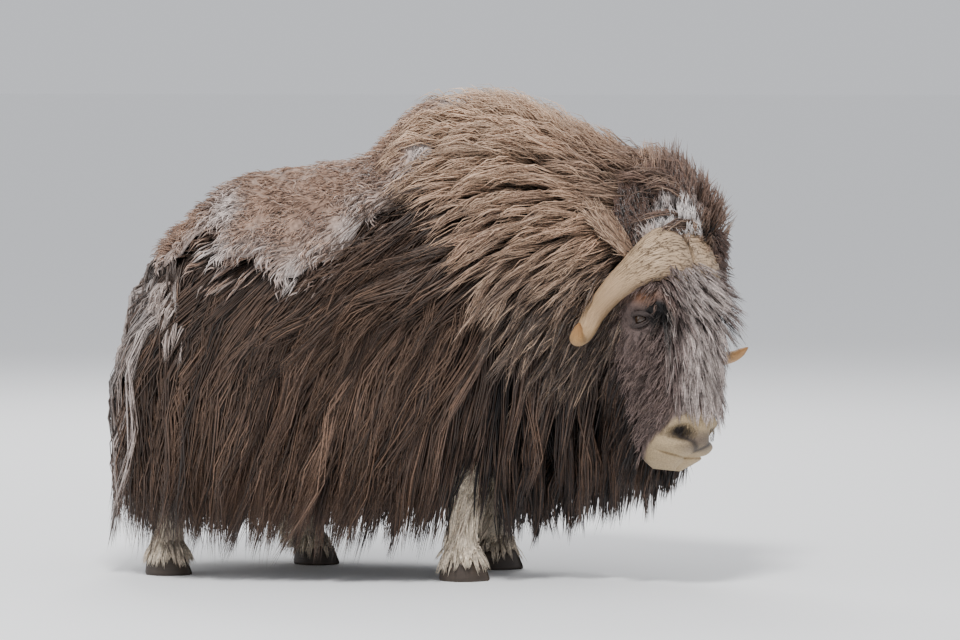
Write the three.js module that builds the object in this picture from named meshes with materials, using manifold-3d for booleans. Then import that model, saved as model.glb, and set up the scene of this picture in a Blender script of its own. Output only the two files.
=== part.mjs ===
// A life-size muskox bull in moult, standing, with its head held low and turned to its right.
// Millimetres. X runs forward along the body, Y to the animal's left, Z up. The soles are at Z 0.
import * as THREE from "three";
import { mergeVertices } from "three/addons/utils/BufferGeometryUtils.js";
import Module from "manifold-3d";

const wasm = await Module();
wasm.setup();

// Driving sizes
const GAP = 0.35; // air between two nodes that touch
const LOCK_GAP = 1.4; // the same beside a lock, which twists
const HEAD_AT = new THREE.Vector3(788, -180, 989); // top of the forehead, between the horns
const HEAD_TURN = -36; // degrees, to the animal's right
const HEAD_ROLL = 8; // degrees, left side down
const NECK_START = 330; // X where the neck leaves the trunk
const RUMP_END = -560; // X where the rump begins
const FLANK_HALF = 170; // the flanks lie outside this half width
const EYE = { f: -28, l: 113, w: -240, radius: 22 };
const HOOF_HEIGHT = 56;
const CORE_SHARE = 0.48; // the solid core fills this share of the coat's depth
const UP = new THREE.Vector3(0, 0, 1);

// Slices of the trunk and neck at X: heights of back and belly, half width, the coat's depth on
// the back and at the side, and the height to which the coat hangs
const TRUNK_SLICES = [
  { u: -822, hi: 850, lo: 740, half: 60, crest: 45, side: 45, hem: 150 },
  { u: -782, hi: 895, lo: 640, half: 150, crest: 68, side: 70, hem: 115 },
  { u: -700, hi: 965, lo: 560, half: 222, crest: 78, side: 95, hem: 98 },
  { u: -550, hi: 1075, lo: 520, half: 268, crest: 85, side: 110, hem: 95 },
  { u: -350, hi: 1112, lo: 480, half: 296, crest: 80, side: 112, hem: 92 },
  { u: -150, hi: 1145, lo: 455, half: 308, crest: 90, side: 108, hem: 88 },
  { u: -40, hi: 1185, lo: 447, half: 306, crest: 172, side: 104, hem: 88 },
  { u: 60, hi: 1228, lo: 445, half: 299, crest: 180, side: 106, hem: 90 },
  { u: 180, hi: 1262, lo: 452, half: 281, crest: 152, side: 112, hem: 92 },
  { u: 300, hi: 1252, lo: 480, half: 250, crest: 138, side: 118, hem: 102 },
  { u: 420, hi: 1208, lo: 515, half: 214, crest: 128, side: 110, hem: 128 },
  { u: 560, hi: 1150, lo: 560, half: 176, crest: 124, side: 78, hem: 160 },
  { u: 680, hi: 1098, lo: 620, half: 145, crest: 148, side: 60, hem: 200 },
  { u: 745, hi: 1072, lo: 690, half: 118, crest: 160, side: 66, hem: 240 },
  { u: 800, hi: 1040, lo: 800, half: 84, crest: 130, side: 70, hem: 260 },
  { u: 848, hi: 985, lo: 880, half: 44, crest: 100, side: 58, hem: 280 },
];

// Slices of the head at a height below the top of the forehead: front, back, half width, and the
// hair's depth in front and at the side
const HEAD_SLICES = [
  { u: -658, hi: 66, lo: -24, half: 36, crest: 2, side: 2 },
  { u: -634, hi: 108, lo: -54, half: 66, crest: 2, side: 2 },
  { u: -600, hi: 136, lo: -72, half: 84, crest: 2, side: 2 },
  { u: -560, hi: 149, lo: -86, half: 91, crest: 2, side: 3 },
  { u: -515, hi: 146, lo: -106, half: 90, crest: 3, side: 8 },
  { u: -465, hi: 134, lo: -130, half: 88, crest: 8, side: 18 },
  { u: -405, hi: 120, lo: -160, half: 95, crest: 24, side: 26 },
  { u: -330, hi: 101, lo: -195, half: 108, crest: 46, side: 26 },
  { u: -250, hi: 80, lo: -222, half: 122, crest: 60, side: 20 },
  { u: -190, hi: 62, lo: -218, half: 126, crest: 72, side: 20 },
  { u: -125, hi: 30, lo: -196, half: 116, crest: 66, side: 24 },
  { u: -70, hi: 2, lo: -165, half: 92, crest: 40, side: 30 },
  { u: -38, hi: -30, lo: -120, half: 55, crest: 30, side: 30 },
];

// Slices of each leg, at a height: front, back and half width
const FORELEG_SLICES = [
  { u: 58, hi: 52, lo: -48, half: 45, crest: 0, side: 0 },
  { u: 100, hi: 46, lo: -48, half: 42, crest: 0, side: 0 },
  { u: 150, hi: 36, lo: -38, half: 33, crest: 0, side: 0 },
  { u: 230, hi: 38, lo: -38, half: 36, crest: 0, side: 0 },
  { u: 310, hi: 55, lo: -46, half: 50, crest: 0, side: 0 },
  { u: 370, hi: 54, lo: -56, half: 52, crest: 0, side: 0 },
  { u: 480, hi: 80, lo: -92, half: 68, crest: 0, side: 0 },
  { u: 640, hi: 120, lo: -120, half: 74, crest: 0, side: 0 },
];
const HINDLEG_SLICES = [
  { u: 54, hi: 48, lo: -46, half: 42, crest: 0, side: 0 },
  { u: 95, hi: 42, lo: -46, half: 39, crest: 0, side: 0 },
  { u: 150, hi: 34, lo: -38, half: 32, crest: 0, side: 0 },
  { u: 250, hi: 36, lo: -46, half: 35, crest: 0, side: 0 },
  { u: 330, hi: 46, lo: -72, half: 42, crest: 0, side: 0 },
  { u: 400, hi: 70, lo: -72, half: 50, crest: 0, side: 0 },
  { u: 500, hi: 115, lo: -88, half: 68, crest: 0, side: 0 },
  { u: 660, hi: 160, lo: -130, half: 84, crest: 0, side: 0 },
];
// Where each hoof stands, how far the leg leans forward from there, and how high it reaches
const LEGS = {
  front_right: { x: 132, y: -178, lean: 30, top: 480, slices: FORELEG_SLICES },
  front_left: { x: 160, y: 168, lean: -10, top: 480, slices: FORELEG_SLICES },
  hind_right: { x: -748, y: -196, lean: 120, top: 580, slices: HINDLEG_SLICES },
  hind_left: { x: -398, y: 186, lean: -210, top: 540, slices: HINDLEG_SLICES },
};

// Middle line of the right horn in the head's frame (forward, out, up), with its half depth
// along the head and its half thickness: a wide flat boss that rounds and tapers to the tip
const HORN_LINE = [
  { f: -10, l: 7, w: -52, deep: 88, thick: 44, tilt: 52 },
  { f: -8, l: 58, w: -50, deep: 92, thick: 46, tilt: 52 },
  { f: -22, l: 108, w: -72, deep: 72, thick: 40, tilt: 50 },
  { f: -62, l: 146, w: -118, deep: 50, thick: 34, tilt: 40 },
  { f: -108, l: 172, w: -175, deep: 39, thick: 31, tilt: 25 },
  { f: -140, l: 196, w: -238, deep: 33, thick: 29, tilt: 10 },
  { f: -136, l: 230, w: -294, deep: 29, thick: 26, tilt: 0 },
  { f: -112, l: 276, w: -316, deep: 24, thick: 22, tilt: 0 },
  { f: -76, l: 314, w: -306, deep: 17, thick: 16, tilt: 0 },
  { f: -45, l: 339, w: -276, deep: 8, thick: 8, tilt: 0 },
];

// A draw of numbers between 0 and 1 that is the same in every run
function seeded(seed) {
  let state = seed;
  return () => {
    state = (state + 0x6d2b79f5) | 0;
    let t = Math.imul(state ^ (state >>> 15), 1 | state);
    t = (t + Math.imul(t ^ (t >>> 7), 61 | t)) ^ t;
    return ((t ^ (t >>> 14)) >>> 0) / 4294967296;
  };
}
const radians = THREE.MathUtils.degToRad;
const mix = THREE.MathUtils.lerp;

// A closed skin over rings of points, each end drawn to its middle
function skinOver(rings) {
  const sides = rings[0].length;
  const points = rings.flat();
  const middles = [rings[0], rings.at(-1)].map((ring) =>
    ring.reduce((sum, p) => sum.add(p), new THREE.Vector3()).divideScalar(sides),
  );
  const faces = [];
  for (let i = 0; i + 1 < rings.length; i++)
    for (let j = 0; j < sides; j++) {
      const a = i * sides + j;
      const b = i * sides + ((j + 1) % sides);
      faces.push(a, b, b + sides, a, b + sides, a + sides);
    }
  const last = (rings.length - 1) * sides;
  for (let j = 0; j < sides; j++) {
    const next = (j + 1) % sides;
    faces.push(points.length, next, j, points.length + 1, last + j, last + next);
  }
  const geometry = new THREE.BufferGeometry();
  geometry.setFromPoints([...points, ...middles]);
  geometry.setIndex(faces);
  return solidOf(geometry);
}

// A solid from an indexed geometry, with its faces turned outwards
function solidOf(geometry) {
  const vertProperties = new Float32Array(geometry.attributes.position.array);
  const triVerts = new Uint32Array(geometry.index.array);
  const made = new wasm.Manifold(new wasm.Mesh({ numProp: 3, vertProperties, triVerts }));
  if (made.volume() > 0) return made;
  for (let i = 0; i < triVerts.length; i += 3)
    [triVerts[i], triVerts[i + 1]] = [triVerts[i + 1], triVerts[i]];
  return new wasm.Manifold(new wasm.Mesh({ numProp: 3, vertProperties, triVerts }));
}

// A smooth run through rows that are in order of u
function rowAt(rows, u) {
  const at = THREE.MathUtils.clamp(u, rows[0].u, rows.at(-1).u);
  let i = 0;
  while (i < rows.length - 2 && rows[i + 1].u < at) i++;
  const [a, b] = [rows[i], rows[i + 1]];
  const [before, after] = [rows[Math.max(i - 1, 0)], rows[Math.min(i + 2, rows.length - 1)]];
  const width = b.u - a.u;
  const t = (at - a.u) / width;
  const [t2, t3] = [t * t, t * t * t];
  const smooth = (key) =>
    a[key] * (2 * t3 - 3 * t2 + 1) +
    ((b[key] - before[key]) / (b.u - before.u)) * width * (t3 - 2 * t2 + t) +
    b[key] * (3 * t2 - 2 * t3) +
    ((after[key] - a[key]) / (after.u - a.u)) * width * (t3 - t2);
  return Object.fromEntries(Object.keys(a).map((key) => [key, smooth(key)]));
}

// A body part given by slices along one of its own axes. Its own coordinates are u along the
// slices, a from lo to hi and b across, and place carries them to the model.
class Stack {
  constructor(rows, place, power) {
    this.rows = rows;
    this.place = place;
    this.back = place.clone().invert();
    this.power = power;
  }
  // The slice at u: its middle, half height and half width
  slice(u) {
    const row = rowAt(this.rows, u);
    return { ...row, centre: (row.hi + row.lo) / 2, high: (row.hi - row.lo) / 2 };
  }
  // The coat's depth at a turn from hi (0) over the side (90) to lo (180)
  depth(slice, turn) {
    const share = Math.sin(radians(turn)) ** 2;
    const top = Math.cos(radians(turn)) > 0 ? slice.crest : 0.4 * slice.side;
    return mix(top, slice.side, share);
  }
  // The surface point at u and turn, raised by a share of the coat's depth and a lift
  point(u, turn, share = 0, lift = 0) {
    const slice = this.slice(u);
    const raise = share * this.depth(slice, turn) + lift;
    const bend = (v) => Math.sign(v) * Math.abs(v) ** (2 / this.power);
    const a = slice.centre + (slice.high + raise) * bend(Math.cos(radians(turn)));
    const b = (slice.half + raise) * bend(Math.sin(radians(turn)));
    return new THREE.Vector3(u, a, b).applyMatrix4(this.place);
  }
  // The way out of the surface near a point, across the slices
  outward(p) {
    const q = p.clone().applyMatrix4(this.back);
    const { centre, high, half } = this.slice(q.x);
    return new THREE.Vector3(0, (q.y - centre) / high ** 2, q.z / half ** 2).transformDirection(this.place);
  }
  // Moves a point that is inside the coat, or clings to it, to a share of the coat's depth
  settle(p, share, clings) {
    const q = p.clone().applyMatrix4(this.back);
    if (q.x < this.rows[0].u - 30 || q.x > this.rows.at(-1).u + 30) return p;
    const slice = this.slice(q.x);
    const [a, b] = [q.y - slice.centre, q.z];
    const turn = THREE.MathUtils.radToDeg(Math.atan2(b / slice.half, a / slice.high));
    const raise = share * this.depth(slice, turn);
    const [high, half] = [slice.high + raise, slice.half + raise];
    const filled = Math.abs(a / high) ** this.power + Math.abs(b / half) ** this.power;
    if (filled >= 1 && !(clings && a > 0)) return p;
    const scale = filled ** (-1 / this.power);
    return new THREE.Vector3(q.x, slice.centre + a * scale, b * scale).applyMatrix4(this.place);
  }
  // The closed solid between two slices, raised by a share of the coat's depth
  solid(from, to, slices, sides, share, grow = 0) {
    const rings = [];
    for (let i = 0; i <= slices; i++) {
      const u = mix(from - grow, to + grow, i / slices);
      const ring = [];
      for (let j = 0; j < sides; j++) ring.push(this.point(u, (360 * j) / sides, share, grow));
      rings.push(ring);
    }
    return skinOver(rings);
  }
}

const trunk = new Stack(
  TRUNK_SLICES,
  new THREE.Matrix4().makeBasis(
    new THREE.Vector3(1, 0, 0),
    new THREE.Vector3(0, 0, 1),
    new THREE.Vector3(0, 1, 0),
  ),
  2.3,
);

// The head's frame: x forward, y to its left, z up, at the top of the forehead
const headFrame = new THREE.Matrix4()
  .makeTranslation(HEAD_AT)
  .multiply(new THREE.Matrix4().makeRotationZ(radians(HEAD_TURN)))
  .multiply(new THREE.Matrix4().makeRotationX(radians(-HEAD_ROLL)));
const inHead = (f, l, w) => new THREE.Vector3(f, l, w).applyMatrix4(headFrame);
const headAlong = (f, l, w) => new THREE.Vector3(f, l, w).transformDirection(headFrame);
const head = new Stack(
  HEAD_SLICES,
  headFrame
    .clone()
    .multiply(
      new THREE.Matrix4().makeBasis(
        new THREE.Vector3(0, 0, 1),
        new THREE.Vector3(1, 0, 0),
        new THREE.Vector3(0, 1, 0),
      ),
    ),
  2.4,
);

// A leg leans from its hoof: its slices shift forward with height
function legStack({ x, y, lean, slices }) {
  const place = new THREE.Matrix4().makeBasis(
    new THREE.Vector3(lean / 600, 0, 1),
    new THREE.Vector3(1, 0, 0),
    new THREE.Vector3(0, 1, 0),
  );
  place.setPosition(x - (lean * HOOF_HEIGHT) / 600, y, 0);
  return new Stack(slices, place, 2.2);
}

// The path of a lock that leaves root along lie, rises through the coat to a share of its depth
// unless it is loose, sinks under its weight, and ends after its length or at the floor height
function drape(body, root, lie, { length, weight, reach, floor, clings = false, loose = false }) {
  const step = 20;
  const path = [root];
  let heading = lie.clone().normalize();
  let at = root;
  for (let run = step; run <= length; run += step) {
    const hangs = clings && at.clone().applyMatrix4(body.back).y < body.slice(at.x).centre;
    heading.addScaledVector(UP, -(hangs ? 1.2 : weight) * (step / 100)).normalize();
    const share = mix(CORE_SHARE, reach, Math.min(1, (1.7 * run) / length));
    const ahead = at.clone().addScaledVector(heading, step);
    const next = loose ? ahead : body.settle(ahead, share, clings && !hangs);
    if (next.z < floor) break;
    heading = next.clone().sub(at).normalize();
    path.push(next);
    at = next;
  }
  return path;
}

// A flat lock along a path: three-sided rings, flat below and ridged above, widest near its
// middle and closed in a short tip
function lock(path, facing, { width, thick, segments = 4 }, spread = 0) {
  const grow = spread > 0 ? LOCK_GAP : 0;
  const curve = new THREE.CatmullRomCurve3(path, false, "centripetal");
  const rings = [];
  let outward = facing(path[0]);
  for (let i = 0; i <= segments; i++) {
    const isTip = i === segments;
    const t = (i / segments) ** 0.65;
    const p = curve.getPointAt(t);
    const along = curve.getTangentAt(t);
    outward = outward.lerp(facing(p), 0.5).normalize();
    const out = outward.clone().projectOnPlane(along).normalize();
    const across = along.clone().cross(out);
    const taper = isTip ? 0.1 : Math.sin(Math.PI * (0.22 + 0.6 * t)) ** 0.8;
    const deep = thick * (0.3 + 0.7 * taper) * (isTip ? 0.5 : 1);
    const half = (width / 2) * taper * (1 + (2.2 * grow) / deep);
    const at = p.addScaledVector(along, isTip ? 5 * grow : i === 0 ? -grow : 0);
    rings.push([
      at.clone().addScaledVector(across, half).addScaledVector(out, -deep / 3 - grow),
      at.clone().addScaledVector(out, (2 * deep) / 3 + 1.1 * grow),
      at.clone().addScaledVector(across, -half).addScaledVector(out, -deep / 3 - grow),
    ]);
  }
  return skinOver(rings);
}

// Which way a lock's flat side faces: out of the body, never downwards, and where ahead is given
// towards the front or, below zero, the rear
function facingFrom(body, ahead = 0) {
  return (p) => {
    const out = body.outward(p);
    return out.setZ(Math.max(out.z, 0.05)).setX(out.x + ahead).normalize();
  };
}

// One lock that grows at a place on a body, rooted in its core
function lockAt(body, u, turn, lie, size) {
  const root = body.point(u, turn, CORE_SHARE, -(size.sink ?? 16));
  const path = drape(body, root, lie, size);
  return (grow) => lock(path, facingFrom(body, size.ahead), size, grow);
}

// The lie of the trunk's hair: backwards along the back, and more and more downwards at the sides
function trunkLie(u, turn, backwards) {
  const side = Math.sign(turn) || 1;
  const down = trunk
    .point(u, turn + side * 4)
    .sub(trunk.point(u, turn - side * 4))
    .normalize();
  const share = Math.min(Math.abs(turn) / 70, 1);
  return new THREE.Vector3(-backwards, 0, 0)
    .multiplyScalar(mix(1.3, 1, share))
    .addScaledVector(down, mix(0.25, 1, share))
    .normalize();
}

// Rows of locks on the trunk and neck, each at one turn from the top
function trunkRows(rows, seed) {
  const draw = seeded(seed);
  const locks = [];
  for (const row of rows)
    for (let i = 0; i < row.count; i++) {
      const u = mix(row.from, row.to, row.count === 1 ? 0.5 : i / (row.count - 1)) + 40 * (draw() - 0.5);
      const turn = row.turn + 8 * (draw() - 0.5);
      const lie = trunkLie(u, turn, row.backwards * (0.8 + 0.4 * draw()));
      const size = {
        ...row,
        length: row.length * (0.9 + 0.2 * draw()),
        reach: row.reach * (i % 2 ? 0.76 : 1) * (0.97 + 0.06 * draw()),
        width: row.width * (0.9 + 0.25 * draw()),
        floor: trunk.slice(u - 60).hem + 50 * draw() ** 2,
        clings: true,
      };
      locks.push(lockAt(trunk, u, turn, lie, size));
    }
  return locks;
}
const bothSides = (rows) => rows.flatMap((row) => [row, { ...row, turn: -row.turn }]);

// The flank's guard hair: three tiers, of which the lower two hang as a skirt to the hem
function flankLocks(side) {
  const tier = { from: -720, to: 275, thick: 20, weight: 0.05 };
  return trunkRows(
    [
      { ...tier, turn: side * 100, count: 6, length: 760, reach: 0.58, width: 200, backwards: 0.15, segments: 3 },
      { ...tier, turn: side * 72, count: 7, length: 860, reach: 0.8, width: 175, backwards: 0.35 },
      { ...tier, turn: side * 44, count: 5, length: 560, reach: 1, width: 215, backwards: 0.8, segments: 3 },
    ],
    side > 0 ? 11 : 12,
  );
}

// The wool of the saddle and the hump's hair, lying back over the spine in wide clumps
function backLocks() {
  const saddle = { from: -500, to: 30, count: 5, length: 270, weight: 0.03, width: 170, thick: 36, segments: 3 };
  const hump = { from: 110, to: 290, count: 2, length: 300, weight: 0.03, width: 160, thick: 36 };
  const turns = [-20, 0, 20];
  return trunkRows(
    [
      ...turns.map((turn) => ({ ...saddle, turn, reach: 0.9, backwards: 1 })),
      ...turns.map((turn) => ({ ...hump, turn: 1.2 * turn, reach: 0.92, backwards: 1 })),
    ],
    21,
  );
}

// The rump's hair, a curtain that hangs down behind
function rumpLocks() {
  const draw = seeded(31);
  const row = (u, turns, back, length, width, ahead, loose = false) =>
    turns.map((turn) =>
      lockAt(trunk, u, turn + 6 * (draw() - 0.5), new THREE.Vector3(-back, 0.4 * Math.sin(radians(turn)), -1), {
        length: length * (0.9 + 0.2 * draw()),
        weight: 0.9,
        reach: 0.9,
        width: width * (0.9 + 0.2 * draw()),
        thick: 26,
        floor: 110 + 60 * draw(),
        ahead,
        loose,
      }),
    );
  return [
    ...row(-650, [-20, 20], 1.2, 190, 180, -0.3),
    ...row(-735, [-38, 0, 38], 1.5, 250, 180, -0.6),
    ...row(-780, [-82, 82], 0.3, 780, 165, -1.4),
    ...row(-812, [-70, 0, 70], 0.5, 780, 150, -3, true),
  ];
}

// The mane: long hair over neck and shoulders, standing high and combed back
function maneLocks() {
  const row = { from: 390, to: 690, count: 3, thick: 42, weight: 0.04, reach: 0.9, backwards: 1 };
  return trunkRows(
    [
      { ...row, turn: 0, length: 320, width: 180 },
      ...bothSides([
        { ...row, turn: 32, length: 340, width: 180 },
        { ...row, turn: 64, length: 360, width: 175 },
        { ...row, turn: 94, length: 380, width: 165, weight: 0.1, backwards: 0.6 },
      ]),
    ],
    41,
  );
}

// The beard that hangs from the throat and the front of the chest
function throatLocks() {
  const row = { from: 400, to: 700, count: 3, thick: 24, weight: 0.6, reach: 0.8, backwards: 0.05 };
  return trunkRows(
    [
      ...bothSides([
        { ...row, turn: 118, from: 440, to: 650, count: 2, length: 580, width: 210, ahead: 0.3 },
        { ...row, turn: 150, from: 640, count: 1, length: 480, width: 165, ahead: 1.5, segments: 3 },
        { ...row, turn: 104, from: 728, to: 728, count: 1, length: 560, width: 225, ahead: 1.2 },
      ]),
      { ...row, turn: 180, from: 440, to: 700, count: 2, length: 480, width: 165, ahead: 3, segments: 3 },
    ],
    51,
  );
}

// A lock on the head, with its lie in the head's own frame
function headLock(u, turn, lie, size) {
  return lockAt(head, u, turn, headAlong(...lie), { thick: 20, floor: 0, sink: 12, ...size });
}

// The forelock that hangs down the face, the cheeks, and the beard under the jaw
function headLocks() {
  const draw = seeded(61);
  const row = (u, turns, lie, size) =>
    turns.map((turn) =>
      headLock(u + 12 * (draw() - 0.5), turn, [lie[0], (lie[1] * turn) / 90, lie[2]], {
        ...size,
        length: size.length * (0.9 + 0.2 * draw()),
      }),
    );
  const cheek = { reach: 0.9, clings: true, segments: 3 };
  return [
    ...row(-185, [-36, -12, 12, 34], [0.3, 0.4, -1], { length: 230, weight: 1.2, reach: 0.95, width: 84 }),
    ...row(-270, [-32, 0, 32], [0.2, 0.4, -1], { length: 190, weight: 1.2, reach: 0.8, width: 84 }),
    ...row(-300, [-104, 104], [-0.2, 0, -1], { ...cheek, length: 230, weight: 0, width: 130 }),
    ...row(-440, [-118, 118], [-0.3, 0, -1], { ...cheek, length: 170, weight: 0.1, width: 120 }),
    ...row(-540, [-140, 180, 140], [-0.5, 0, -1], { length: 210, weight: 0.5, reach: 1, width: 84 }),
  ];
}

// Long pale hair behind the cannon and fetlock
function legLocks(stack, seed) {
  const draw = seeded(seed);
  return [
    [300, 160],
    [260, 210],
    [160, 150],
    [150, 205],
  ].map(([u, turn]) =>
    lockAt(stack, u, turn + 10 * (draw() - 0.5), new THREE.Vector3(-0.35, 0, -1), {
      length: 120 + 30 * draw(),
      weight: 0.2,
      reach: 1,
      width: 58,
      thick: 14,
      segments: 3,
      sink: 8,
      floor: 66,
    }),
  );
}

// A sphere or egg at a place in the head, with half sizes forward, out and up
function egg(f, l, w, half, detail = [10, 6]) {
  return (grow) => {
    const rings = [];
    for (let i = 1; i < detail[1]; i++) {
      const rise = Math.PI * (i / detail[1]);
      const ring = [];
      for (let j = 0; j < detail[0]; j++) {
        const around = (2 * Math.PI * j) / detail[0];
        ring.push(
          inHead(
            f + (half[0] + grow) * Math.sin(rise) * Math.cos(around),
            l + (half[1] + grow) * Math.sin(rise) * Math.sin(around),
            w + (half[2] + grow) * Math.cos(rise),
          ),
        );
      }
      rings.push(ring);
    }
    return skinOver(rings);
  };
}

// A lid: a bent roll over one side of the eyeball, from corner to corner
function lid(side, over, grow = 0) {
  const rings = [];
  const steps = 5;
  for (let i = 0; i <= steps; i++) {
    const swing = Math.PI * (i / steps);
    const reach = EYE.radius * 1.1;
    const f = EYE.f - reach * 1.25 * Math.cos(swing);
    const w = EYE.w + over * reach * (over > 0 ? 0.42 : 0.55) * Math.sin(swing) - 3;
    const l = side * (EYE.l + EYE.radius * (0.38 + 0.62 * Math.sin(swing)));
    const ring = [];
    for (let j = 0; j < 5; j++) {
      const around = (2 * Math.PI * j) / 5;
      const roll = 4 + 4.5 * Math.sin(swing);
      const out = (roll + grow) * Math.cos(around) - 4;
      ring.push(inHead(f, l + side * out, w + over * (roll + (roll + grow) * Math.sin(around))));
    }
    rings.push(ring);
  }
  return skinOver(rings);
}

// The line of the mouth: a thin wedge that runs round the muzzle and up towards the cheeks
function mouthLine() {
  const rings = [];
  for (let i = 0; i <= 12; i++) {
    const turn = mix(-85, 85, i / 12);
    const w = -616 + 26 * (Math.abs(turn) / 85) ** 1.6;
    const out = head.point(w, turn, 0, 6);
    const inner = head.point(w, turn, 0, -12);
    const lift = headAlong(0, 0, 1);
    rings.push([
      out.clone().addScaledVector(lift, 5),
      inner,
      out.clone().addScaledVector(lift, -5),
      out.clone().addScaledVector(out.clone().sub(inner), 0.4),
    ]);
  }
  return skinOver(rings);
}

function headPieces() {
  const skull = (grow) => head.solid(HEAD_SLICES[0].u, HEAD_SLICES.at(-1).u, 14, 16, CORE_SHARE, grow);
  const bumps = [];
  for (const side of [-1, 1]) {
    bumps.push(egg(-34, side * 92, -228, [60, 38, 46])); // rim of the eye socket
    bumps.push(egg(112, side * 44, -534, [34, 34, 32], [8, 6])); // wing of the nostril
    bumps.push(egg(70, side * 52, -572, [62, 34, 26], [8, 6])); // upper lip
  }
  bumps.push(egg(58, 0, -622, [58, 50, 26], [8, 6])); // lower lip and chin
  const lids = [-1, 1].flatMap((side) => [-1, 1].map((over) => (grow) => lid(side, over, grow)));
  return [skull, ...bumps, ...lids, ...headLocks()];
}

function headCuts() {
  const cuts = [mouthLine()];
  for (const side of [-1, 1]) {
    cuts.push(egg(138, side * 46, -538, [20, 13, 12], [8, 6])(0)); // nostril
  }
  return cuts;
}

// A horn, from the middle of the forehead to its tip
function horn(side, grow) {
  const line = HORN_LINE.map((r) => inHead(r.f, side * r.l, r.w));
  const curve = new THREE.CatmullRomCurve3(line, false, "centripetal");
  const steps = 15;
  const rings = [];
  for (let i = 0; i <= steps; i++) {
    const t = i / steps;
    const spot = t * (HORN_LINE.length - 1);
    const k = Math.min(Math.floor(spot), HORN_LINE.length - 2);
    const part = spot - k;
    const size = (key) => mix(HORN_LINE[k][key], HORN_LINE[k + 1][key], part);
    const p = curve.getPoint(t);
    const along = i === 0 ? headAlong(0, side, 0) : curve.getTangent(t);
    const tilt = radians(size("tilt"));
    const deepWay = headAlong(Math.cos(tilt), 0, -Math.sin(tilt)).projectOnPlane(along).normalize();
    const thickWay = along.clone().cross(deepWay);
    const at = p.clone().addScaledVector(along, i === 0 ? -grow : i === steps ? 14 + grow : 0);
    const shrink = i === steps ? 0.25 : 1;
    const ring = [];
    for (let j = 0; j < 10; j++) {
      const around = (2 * Math.PI * j) / 10;
      ring.push(
        at
          .clone()
          .addScaledVector(deepWay, (size("deep") * shrink + grow) * Math.cos(around))
          .addScaledVector(thickWay, (size("thick") * shrink + grow) * Math.sin(around)),
      );
    }
    rings.push(ring);
  }
  return skinOver(rings);
}

// An ear: a leaf-shaped cup behind the horn, open to the front
function ear(side, grow) {
  const base = [-88, side * 118, -60];
  const tip = [-170, side * 232, 52];
  const steps = 5;
  const shell = (scale, shift) => {
    const rings = [];
    for (let i = 0; i <= steps; i++) {
      const t = i / steps;
      const spread = Math.sin(Math.PI * (0.16 + 0.8 * t)) ** 0.8;
      const p = inHead(
        mix(base[0], tip[0], t) + shift,
        mix(base[1], tip[1], t),
        mix(base[2], tip[2], t) + 14 * Math.sin(Math.PI * t),
      );
      const across = headAlong(-0.3, -side * 0.55, 0.85);
      const deep = headAlong(0.93, -side * 0.2, 0.3);
      const ring = [];
      for (let j = 0; j < 7; j++) {
        const around = (2 * Math.PI * j) / 7;
        ring.push(
          p
            .clone()
            .addScaledVector(across, (34 * spread * scale + grow) * Math.cos(around))
            .addScaledVector(deep, (19 * spread * scale + grow) * Math.sin(around)),
        );
      }
      rings.push(ring);
    }
    return skinOver(rings);
  };
  return grow > 0 ? shell(1, 0) : shell(1, 0).subtract(shell(0.74, 12));
}

// A hoof: two claws on a flat sole, parted by a notch at the toe
function hoof({ x, y, slices }, grow) {
  const wide = slices === FORELEG_SLICES ? 1.08 : 1;
  const rings = [0, 0.5, 1].map((t) => {
    const shrink = 1 - 0.16 * t;
    const ring = [];
    for (let j = 0; j < 12; j++) {
      const around = (2 * Math.PI * j) / 12;
      const front = 66 * Math.cos(around) + (Math.cos(around) > 0 ? 6 : 0);
      ring.push(
        new THREE.Vector3(
          x + 8 - 8 * t + (front * shrink * wide + grow * Math.cos(around)),
          y + (56 * Math.sin(around) * shrink * wide + grow * Math.sin(around)),
          HOOF_HEIGHT * t + (t === 0 ? -grow : t === 1 ? grow : 0),
        ),
      );
    }
    return ring;
  });
  const whole = skinOver(rings);
  if (grow > 0) return whole;
  const notch = [0, 1].map((t) => [
    new THREE.Vector3(x + 110, y - 9 + 4 * t, mix(-5, HOOF_HEIGHT - 12, t)),
    new THREE.Vector3(x + 110, y + 9 - 4 * t, mix(-5, HOOF_HEIGHT - 12, t)),
    new THREE.Vector3(x + 26 + 26 * t, y, mix(-5, HOOF_HEIGHT - 12, t)),
  ]);
  return whole.subtract(skinOver(notch));
}

// The short tail, hung over the rump's hair
function tail(grow) {
  const rings = [0, 0.3, 0.6, 1].map((t) => {
    const ring = [];
    for (let j = 0; j < 8; j++) {
      const around = (2 * Math.PI * j) / 8;
      const size = mix(30, 12, t ** 2);
      ring.push(
        new THREE.Vector3(
          -806 - 66 * Math.sin((t * Math.PI) / 2) + (size * 0.6 + grow) * Math.cos(around),
          (size + grow) * Math.sin(around),
          885 - 20 * t - 95 * t ** 2 + (t === 1 ? -grow : 0),
        ),
      );
    }
    return ring;
  });
  return skinOver(rings);
}
function tailLocks() {
  return [-1, 0, 1].map((side) => {
    const path = [0, 1, 2, 3].map(
      (k) => new THREE.Vector3(-848 - 22 * k + 2 * k * k, side * (12 + 9 * k), 862 - 40 * k - 3 * k * k),
    );
    const behind = () => new THREE.Vector3(-1, side * 0.3, 0.2);
    return (grow) => lock(path, behind, { width: 46, thick: 20, segments: 3 }, grow);
  });
}

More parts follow.
